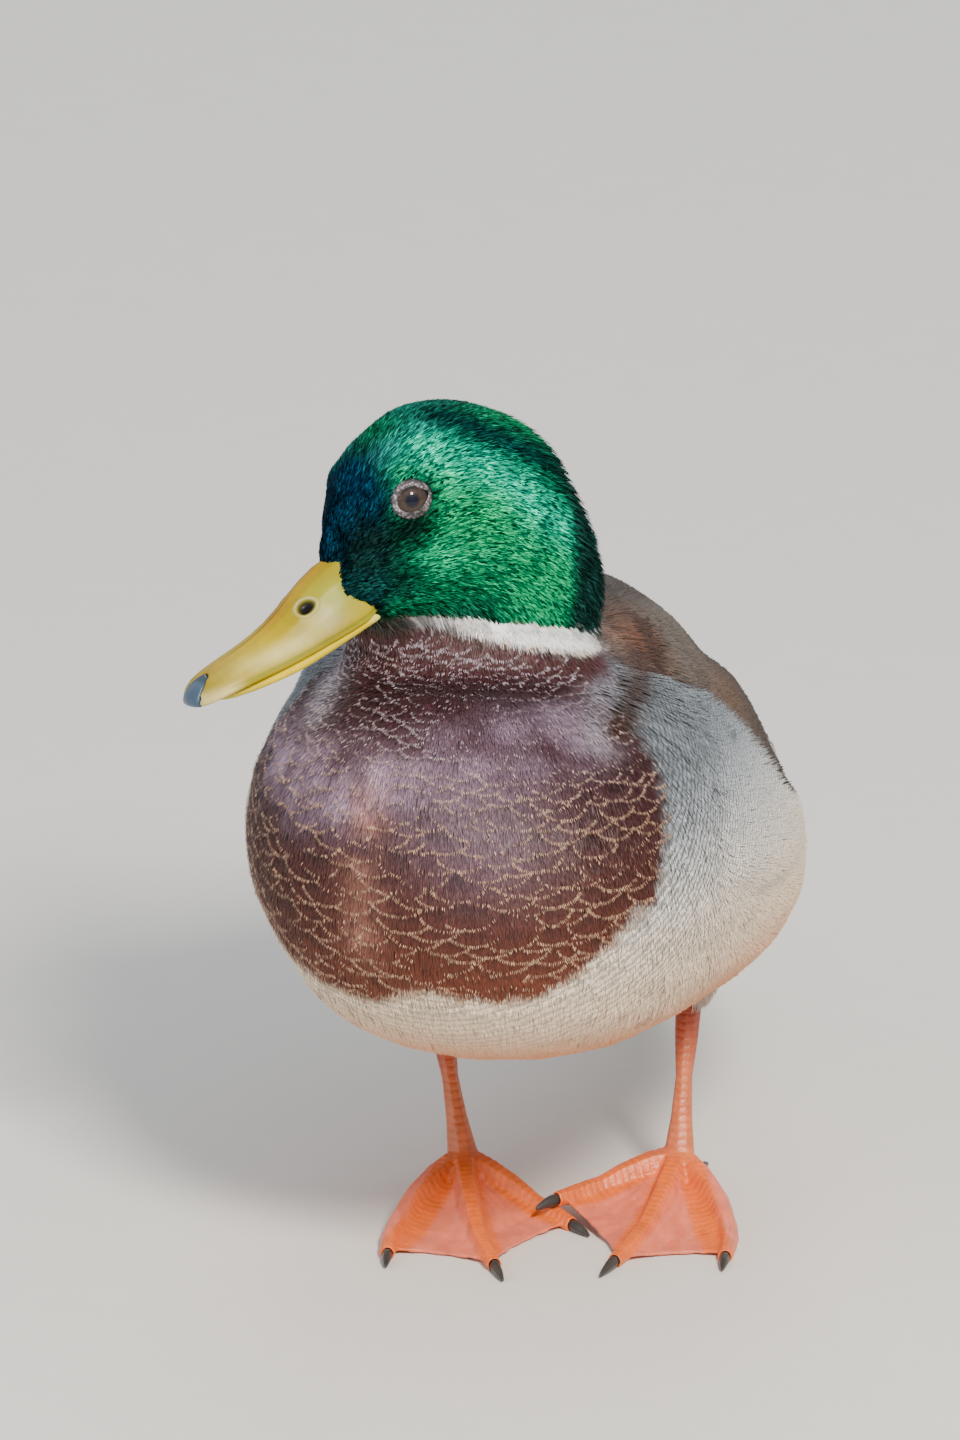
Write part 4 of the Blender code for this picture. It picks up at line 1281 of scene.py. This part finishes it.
def lid(hand, side):
    """A ring that closes on the eyeball: rounded at its inner rim, and under the feathers outside."""
    gaze, along, rise = eye_axes(side)
    centre = middle("eye_" + hand)
    wide, tall = LID_OPENING
    form = bmesh.new()
    bmesh.ops.create_grid(form, x_segments=64, y_segments=9, size=0.5)
    for vert in form.verts:
        turn = (vert.co.x + 0.5) * 2 * pi
        out = vert.co.y + 0.5
        opening = wide * tall / ((tall * cos(turn)) ** 2 + (wide * sin(turn)) ** 2) ** 0.5
        opening *= 1 + 0.3 * np.exp(-((turn - pi) / 0.35) ** 2)
        tilt = radians(opening - 3 + (LID_WIDTH + 3) * out)
        raised = EYE_RADIUS + 0.1 + LID_RISE * (1 - (1 - min(out / 0.3, 1)) ** 2) ** 0.5
        raised -= 1.3 * max(out - 0.45, 0) ** 1.5
        raised += LID_FOLD_DEPTH * sin(pi * LID_FOLDS * out) * (out > 0.15)
        outward = along * cos(turn) + rise * sin(turn)
        vert.co = (centre + (gaze * cos(tilt) + outward * sin(tilt)) * raised) * MM
    bmesh.ops.remove_doubles(form, verts=form.verts, dist=1e-7)
    bmesh.ops.recalc_face_normals(form, faces=form.faces)
    mesh = bpy.data.meshes.new("lid_" + hand)
    form.to_mesh(mesh)
    form.free()
    mesh.shade_smooth()
    if Vector(mesh.polygons[0].normal).dot(mesh.polygons[0].center - centre * MM) < 0:
        mesh.flip_normals()
    away = corners(mesh) - np.array(centre)
    tilt = np.degrees(np.arccos(np.clip(unit(away) @ np.array(gaze), -1, 1)))
    tone = np.tile(linear("#8C838B"), (len(tilt), 1))
    tone = painted(tone, "#4A4448", smooth_step(unit(away) @ np.array(rise), 0.1, 0.5) * 0.5)
    tone = painted(tone, "#0A0808", smooth_step(-tilt, -41, -36))
    tone = painted(tone, "#0B2020", smooth_step(tilt, 50, 60))
    give(mesh, "tint", tone, "FLOAT_COLOR")
    return mesh


eye_material, lid_material = wet_eye(), lid_finish()
for hand, side in (("left", 1), ("right", -1)):
    ball = bpy.data.objects.new("eyeball_" + hand, eyeball(hand, side))
    cover = bpy.data.objects.new("lid_" + hand, lid(hand, side))
    for piece, material, slot in ((ball, eye_material, "dark_eye"), (cover, lid_material, "green_plumage")):
        bpy.context.scene.collection.objects.link(piece)
        piece.data.materials.append(material)
        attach(piece, "root")
    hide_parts("eye_" + hand)


# ---- Feet and shanks -----------------------------------------------------------------------------
# Bare orange legs: plates across the shank and the toes, and thin, finely wrinkled webs between
# three toes. Claws of grey horn. Each leg is one skin from the hock to the claws.

FOOT_GRAIN, CLAW_GRAIN = 0.5, 0.3  # size of the faces
FOOT_JOINS = 0.25
PLATE = 2.0  # length of the plates across toes and shank
PLATE_GROOVE, PLATE_SWELL = 0.16, 0.07
ANKLE = (13, 17)  # the heights between which the foot turns into the shank
TOE_SIDES = (2.6, 4.6)  # how far from a toe's middle line it turns into web
WEB_FOLDS, FOLD_DEPTH = 46, 0.1  # folds in a full turn round the knuckle


def lowest_of(node, depth):
    places = corners(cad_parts[node].data)
    return places[places[:, 2] < places[:, 2].min() + depth].mean(axis=0)


def leg_skin(hand):
    leg = solids_joined("leg_" + hand, ["shank_" + hand, "foot_" + hand], FOOT_JOINS)
    piece = remeshed(leg, FOOT_GRAIN, rounds=3)
    shaped(piece, np.full(len(piece.data.vertices), -FOOT_JOINS))
    places = corners(piece.data)
    knuckle = lowest_of("shank_" + hand, 2)
    ends = {toe: np.array(middle("claw_" + toe + "_" + hand)) for toe in ("inner", "middle", "outer", "hind")}
    nearest = np.full(len(places), 1e9)
    along = np.zeros(len(places))
    for end in ends.values():
        run = (end - knuckle)[:2]
        length = np.linalg.norm(run)
        share = ((places - knuckle)[:, :2] @ run) / length ** 2
        line = knuckle[:2] + np.clip(share, 0, 1.1)[:, None] * run
        off = np.linalg.norm(places[:, :2] - line, axis=1)
        closer = off < nearest
        nearest = np.where(closer, off, nearest)
        along = np.where(closer, share * length, along)
    shank = smooth_step(places[:, 2], *ANKLE)
    toe = smooth_step(-nearest, -TOE_SIDES[1], -TOE_SIDES[0]) * (1 - shank)
    run = np.where(shank > 0.5, places[:, 2], along)
    phase = np.abs((run / PLATE) % 1 - 0.5) * 2
    facing = outwards(piece.data)
    top = smooth_step(facing[:, 2], -0.1, 0.3) * (1 - shank) + smooth_step(-facing[:, 1], 0.0, 0.4) * shank
    plates = -PLATE_GROOVE * smooth_step(phase, 0.7, 1.0) * np.maximum(toe, shank) * top
    rounded = PLATE_SWELL * (1 - phase ** 2) * np.maximum(toe, shank) * top
    round_knuckle = np.arctan2(places[:, 1] - knuckle[1], places[:, 0] - knuckle[0])
    away = np.linalg.norm((places - knuckle)[:, :2], axis=1)
    folds = FOLD_DEPTH * np.sin(round_knuckle * WEB_FOLDS + np.sin(away * 0.5) * 1.2) * (1 - toe)
    folds = folds * (1 - shank) * smooth_step(away, 8, 20)
    shaped(piece, plates + rounded + folds)

    tone = np.tile(linear("#DE7458"), (len(places), 1))
    tone = painted(tone, "#E0661E", toe)
    tone = painted(tone, "#A03412", shank)
    joint = np.exp(-((away - 3) / 5) ** 2)
    tone = painted(tone, "#E88A50", joint * 0.5)
    seam = smooth_step(phase, 0.72, 1.0) * np.maximum(toe, shank) * top
    tone = painted(tone, "#B04420", seam * 0.22)
    # Lighter on the middle of each plate's upper side: painted highlight.
    tone = painted(tone, "#F4A880", np.maximum(toe, shank) * top * (1 - phase) ** 3 * 0.12)
    give(piece.data, "tint", tone, "FLOAT_COLOR")
    return piece


def orange_skin():
    """Duck's foot: tough skin in fine round scales, soft and a little see-through in the webs."""
    material, tree = new_material("orange_foot_skin")
    place = here(tree)
    scales = node(tree, "ShaderNodeTexVoronoi", {}, {"Scale": 1000.0}, Vector=place).outputs["Distance"]
    tone = between(tree, cloudy(tree, place, 160.0, 4.0), 0.3, 0.7, 0.86, 1.12)
    hue = scaled(tree, carried(tree, "tint", "Color"), tone)
    surface(tree, hue, relief(tree, times(tree, scales, -1.0), 0.4, 0.3 * MM), Roughness=0.45,
            Coat_Weight=0.15, Coat_Roughness=0.3, Subsurface_Weight=0.2,
            Subsurface_Radius=(0.0015, 0.0005, 0.0002))
    return material


foot_material = orange_skin()
claw_nodes = []
for hand in ("left", "right"):
    piece = leg_skin(hand)
    piece.data.materials.append(foot_material)
    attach(piece, "root")
    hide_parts("shank_" + hand, "foot_" + hand)
    claw_nodes += ["claw_" + toe + "_" + hand for toe in ("inner", "middle", "outer", "hind")]
claws = remeshed(solids_joined("claws", claw_nodes, 0.1), CLAW_GRAIN, rounds=3)
give(claws.data, "tint", np.tile(linear("#3A3836"), (len(claws.data.vertices), 1)), "FLOAT_COLOR")
claws.data.materials.append(slate_horn)
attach(claws, "root")
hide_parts(*claw_nodes)


# ---- Wings ---------------------------------------------------------------------------------------
# Folded wings: rows of small coverts, then long brown quills, with the blue mirror of the
# secondaries showing over the flank. The tips of the primaries pass the wing's end.

BAND_JAG = 0.012  # how far a band's edge jumps from barb to barb, against the feather's length


def barred(name, marks):
    """Long quill: closed vane in bands of colour along it, each from its share of the length."""
    material, tree = new_material(name)
    spark, along = carried(tree, "spark"), carried(tree, "along")
    place = node(tree, "ShaderNodeMath", {"operation": "MULTIPLY_ADD"}, {1: BAND_JAG}, _0=spark, _2=along)
    hue = scaled(tree, banded(tree, place.outputs["Value"], marks), between(tree, spark, 0, 1, 0.85, 1.15))
    surface(tree, hue, Roughness=0.38, Metallic=0.15, Specular_IOR_Level=0.6)
    return material


quill_feather = plumage("quill_feather", 0.45, shine=0.6, streaky=0.12, fringe_colour="#C8BCA8",
                        fringe_from=0.8)
mirror_feather = barred("mirror_feather", [
    (0.0, "#2A2A30"), (0.3, "#16245C"), (0.4, "#22389C"), (0.78, "#2A46A8"), (0.82, "#08080C"),
    (0.9, "#08080C"), (0.915, "#F0EEE8"),
])
edged_covert = barred("edged_covert", [
    (0.0, "#4E4238"), (0.79, "#4E4238"), (0.81, "#E8E6E0"), (0.89, "#E8E6E0"), (0.91, "#08080C"),
])
SECONDARIES, TERTIALS = 9, 5  # how many show in each row
ROW_STEP, TERTIAL_STEP = (0.8, 2.6, 2.0), (2.5, 9.0, 4.0)  # in, back and down from one to the next
for hand, side in (("left", 1), ("right", -1)):
    rows = np.arange(SECONDARIES)
    for name, y_start, z_start, long, lift, feather in (
        ("mirror_", -10, 126, 44, 2.5, mirror_feather), ("coverts_", -30, 132, 31, 2.9, edged_covert),
    ):
        y_root, z_root = y_start + rows * ROW_STEP[1], z_start - rows * ROW_STEP[2]
        x_root = midline(y_root) + side * (64 - rows * ROW_STEP[0])
        headings = np.tile([-side * 0.16, 1, -0.22], (SECONDARIES, 1))
        roots = roots_at(np.c_[x_root, y_root, z_root], headings, "#2A3FA0")
        coat(name + hand, roots, length=long, half_width=4.6, lift=(0.8, lift - 0.12 * rows),
             material=feather, barbs=26, stray=0.015, ruffle=0.015, shade=0.03,
             steps=6, seed=41)

    rows = np.arange(TERTIALS)
    y_root = -10 + rows * TERTIAL_STEP[1]
    z_root = 146 - rows * TERTIAL_STEP[2]
    x_root = midline(y_root) + side * (46 - rows * TERTIAL_STEP[0])
    headings = np.tile([-side * 0.2, 1, -0.34], (TERTIALS, 1))
    roots = roots_at(np.c_[x_root, y_root, z_root], headings, "#7C6C5E")
    roots.fringe = roots.fringe + 0.5
    coat("tertials_" + hand, roots, length=74, half_width=11, lift=(1.0, 3.4), material=quill_feather,
         barbs=44, stray=0.02, ruffle=0.015, shade=0.04, steps=7, seed=42)


# ---- Tail ----------------------------------------------------------------------------------------
# A fan of stiff quills, white at its edges and grey in the middle, with curled black feathers that
# rise from the rump above it, and the tips of the flight feathers at each side.

QUILL_THICKNESS = 0.5
QUILL_CAMBER = 0.12  # against its half width
QUILL_STEPS = 26
TAIL_QUILLS, WING_TIP_QUILLS = 16, 5


def quill(form, layers, root, tip, half_width, rise, tint, sag):
    """Adds one long feather: a cambered vane with a shaft, rounded at the end, to a bmesh."""
    root, tip, rise = Vector(root), Vector(tip), Vector(rise)
    run = tip - root
    ahead = run.normalized()
    side = ahead.cross(rise).normalized()
    rise = side.cross(ahead)
    made = bmesh.ops.create_grid(form, x_segments=8, y_segments=QUILL_STEPS, size=0.5)["verts"]
    for vert in made:
        across = vert.co.x * 2
        share = vert.co.y + 0.5
        wide = half_width * min(1, share * 7 + 0.25) * (1 - max(0, (share - 0.86) / 0.14) ** 2.6) ** 0.5
        wide *= 0.8 + 0.2 * share
        spot = root + run * share + side * across * wide
        spot += rise * (half_width * QUILL_CAMBER * (1 - across * across) + sag * share * (1 - share) * 4)
        spot += rise * (0.35 * max(0, 1 - abs(across) * 6))
        vert[layers["reach"]] = abs(across)
        vert[layers["along"]] = share
        vert[layers["tint"]] = (*tint, 1)
        vert.co = spot * MM


def quill_set(name, quills, material, replaced):
    """Long feathers as one piece, each given a thickness, in place of the solids that stood for them."""
    form = bmesh.new()
    layers = {
        "reach": form.verts.layers.float.new("reach"),
        "along": form.verts.layers.float.new("along"),
        "tint": form.verts.layers.float_color.new("tint"),
    }
    for values in quills:
        quill(form, layers, **values)
    bmesh.ops.recalc_face_normals(form, faces=form.faces)
    mesh = bpy.data.meshes.new(name)
    form.to_mesh(mesh)
    form.free()
    mesh.shade_smooth()
    piece = bpy.data.objects.new(name, mesh)
    bpy.context.scene.collection.objects.link(piece)
    solid = piece.modifiers.new("Thickness", "SOLIDIFY")
    solid.thickness = QUILL_THICKNESS * MM
    solid.offset = 0
    piece.data.materials.append(material)
    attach(piece, "root")
    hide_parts(*replaced)


def quill_finish():
    """Flight and tail feather: a close, silky vane, paler along its edges."""
    material, tree = new_material("silky_quill")
    reach, along = carried(tree, "reach"), carried(tree, "along")
    slant = node(tree, "ShaderNodeMath", {"operation": "MULTIPLY_ADD"}, {1: -0.25}, _0=reach, _2=along)
    barb = times(tree, slant.outputs["Value"], 640.0)
    lines = node(tree, "ShaderNodeMath", {"operation": "SINE"}, _0=barb).outputs["Value"]
    hue = scaled(tree, carried(tree, "tint", "Color"), between(tree, lines, -1, 1, 0.9, 1.08))
    hue = laid_over(tree, hue, "#D8D0C2", between(tree, reach, 0.86, 1.0, 0, 0.6))
    surface(tree, hue, relief(tree, lines, 0.25, 0.2 * MM), Roughness=0.45, Sheen_Weight=0.15)
    return material


silky_quill = quill_finish()
low, high = (Vector(corner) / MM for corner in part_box("tail"))
tail_middle = (low.x + high.x) / 2
fan = []
for k in range(TAIL_QUILLS):
    spread = (k + 0.5) / TAIL_QUILLS * 2 - 1
    layer = abs(spread)
    root_spot = (tail_middle + 3.2 + spread * 11, low.y + 14, high.z - 8 - 2.2 * layer)
    length = (high.y - low.y - 16) * (1 - 0.1 * layer ** 2)
    tip_spot = (tail_middle + spread * 20 - 2, low.y + 14 + length, low.z + 1.6 + 6.5 * layer ** 2)
    grey = linear("#6A6056") * (1 - layer ** 2) + linear("#D2CCC0") * layer ** 2
    fan.append(dict(root=root_spot, tip=tip_spot, half_width=7.0, rise=(0.25 * spread, 0.4, 1), tint=grey,
                    sag=3.0 - layer))
quill_set("tail_quills", fan, silky_quill, ["tail"])

for hand, side in (("left", 1), ("right", -1)):
    low, high = (Vector(corner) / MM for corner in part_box("primaries_" + hand))
    tip_x = low.x + 4 if side > 0 else high.x - 4
    blades = []
    for k in range(WING_TIP_QUILLS):
        back_by = k * 8.5
        blades.append(dict(
            root=(midline(15) + side * (37 - k), 22 - k * 4, 124 + k * 0.8),
            tip=(tip_x + side * k * 1.6, high.y - back_by, low.z + 1.5 + back_by * 0.42),
            half_width=6.0, rise=(side * 0.6, 0.15, 1), tint=linear("#463A30"), sag=1.5,
        ))
    quill_set("primary_quills_" + hand, blades, silky_quill, ["primaries_" + hand])

# The drake's curl: a black feather on each side that rolls up and forward, tighter towards its tip.
CURL_RADIUS, CURL_TURN, CURL_TIGHTENS = 8, 285, 0.3
CURL_WIDTH, CURL_NARROWS, CURL_RUNS_BACK, CURL_SPREADS = 2.5, 0.5, 9, 2
glossy_black = plumage("glossy_black_feather", 0.3, shine=0.8, streaky=0.1)
for hand, side in (("left", 1), ("right", -1)):
    low, high = (Vector(corner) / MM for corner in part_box("tail_curl_" + hand))
    start_x = low.x + 3 if side > 0 else high.x - 3
    start_y, start_z = low.y + 6.6, low.z + 0.7
    form = bmesh.new()
    layers = form.verts.layers.float_color.new("tint")
    bmesh.ops.create_grid(form, x_segments=6, y_segments=64, size=0.5)
    for vert in form.verts:
        share = vert.co.y + 0.5
        across = vert.co.x * 2
        turn_by = radians(CURL_TURN) * share
        radius = CURL_RADIUS * (1 - CURL_TIGHTENS * share)
        wide = CURL_WIDTH * (1 - CURL_NARROWS * share) * (1 - max(0, (share - 0.9) / 0.1) ** 2) ** 0.5
        wide *= 1 + 0.06 * sin(share * 180)
        vert[layers] = (*linear("#10151A"), 1)
        vert.co = Vector((
            start_x + side * CURL_SPREADS * share * 0.5 + across * wide,
            start_y + radius * sin(turn_by) + CURL_RUNS_BACK * share * (1 - share),
            start_z + CURL_RADIUS - radius * cos(turn_by) + 0.3 * abs(across),
        )) * MM
    bmesh.ops.recalc_face_normals(form, faces=form.faces)
    mesh = bpy.data.meshes.new("curled_feather_" + hand)
    form.to_mesh(mesh)
    form.free()
    mesh.shade_smooth()
    curl_piece = bpy.data.objects.new("curled_feather_" + hand, mesh)
    bpy.context.scene.collection.objects.link(curl_piece)
    solid = curl_piece.modifiers.new("Thickness", "SOLIDIFY")
    solid.thickness = QUILL_THICKNESS * MM
    solid.offset = 0
    mesh.materials.append(glossy_black)
    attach(curl_piece, "root")
    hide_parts("tail_curl_" + hand)


# ---- Floor, light and camera ---------------------------------------------------------------------
# A plain pale floor, soft studio light from the upper right, and the camera at the bird's left front.

CAMERA_AZIMUTH, CAMERA_ELEVATION = 15, 20
CAMERA_DISTANCE = 7044
CAMERA_LENS, CAMERA_SENSOR = 630, 36
VIEW_ASIDE, VIEW_UP = -24.7, 118.3  # where the camera aims, across its view and up it
LIGHTS_AIM = (0, -0.05, 0.14)  # in metres, as the lamps' places are


def floor_finish():
    """Matt, off-white studio board."""
    material, tree = new_material("studio_board")
    tone = between(tree, cloudy(tree, here(tree), 60.0), 0.3, 0.7, 0.985, 1.0)
    board = node(tree, "ShaderNodeRGB")
    board.outputs["Color"].default_value = (*linear("#E2E0DB"), 1)
    surface(tree, scaled(tree, board.outputs["Color"], tone), Roughness=0.75)
    return material


form = bmesh.new()
bmesh.ops.create_grid(form, x_segments=1, y_segments=1, size=6)
mesh = bpy.data.meshes.new("floor")
form.to_mesh(mesh)
form.free()
floor = bpy.data.objects.new("floor", mesh)
bpy.context.scene.collection.objects.link(floor)
mesh.materials.append(floor_finish())


def lamp(name, place, size, power, hexed):
    """A square soft box that faces the bird: where it hangs, its side, its watts and its colour."""
    light = bpy.data.lights.new(name, "AREA")
    light.size = size
    light.energy = power
    light.color = tuple(linear(hexed))
    holder = bpy.data.objects.new(name, light)
    holder.location = place
    holder.rotation_euler = (Vector(LIGHTS_AIM) - holder.location).to_track_quat("-Z", "Y").to_euler()
    bpy.context.scene.collection.objects.link(holder)


lamp("key", (0.95, -1.5, 1.6), 0.45, 82, "#FFF6EA")
lamp("fill", (-1.5, -1.6, 0.9), 1.4, 14, "#EAF0FA")
lamp("rim", (-0.3, 1.6, 1.4), 0.8, 10, "#F4F8FF")

world = bpy.data.worlds.new("studio")
bpy.context.scene.world = world
world.use_nodes = True
sky = world.node_tree.nodes["Background"]
sky.inputs["Color"].default_value = (*linear("#E8ECF0"), 1)
sky.inputs["Strength"].default_value = 0.72

turn, rise = radians(CAMERA_AZIMUTH), radians(CAMERA_ELEVATION)
right = Vector((cos(turn), sin(turn), 0))
back = Vector((sin(turn) * cos(rise), -cos(turn) * cos(rise), sin(rise)))
up = back.cross(right)
lens = bpy.data.cameras.new("camera")
lens.lens = CAMERA_LENS
lens.sensor_width = CAMERA_SENSOR
lens.clip_end = 100
camera = bpy.data.objects.new("camera", lens)
bpy.context.scene.collection.objects.link(camera)
aim = right * VIEW_ASIDE + up * VIEW_UP
stand = Matrix.Translation((aim + back * CAMERA_DISTANCE) * MM)
camera.matrix_world = stand @ Matrix((right, up, back)).transposed().to_4x4()
bpy.context.scene.camera = camera
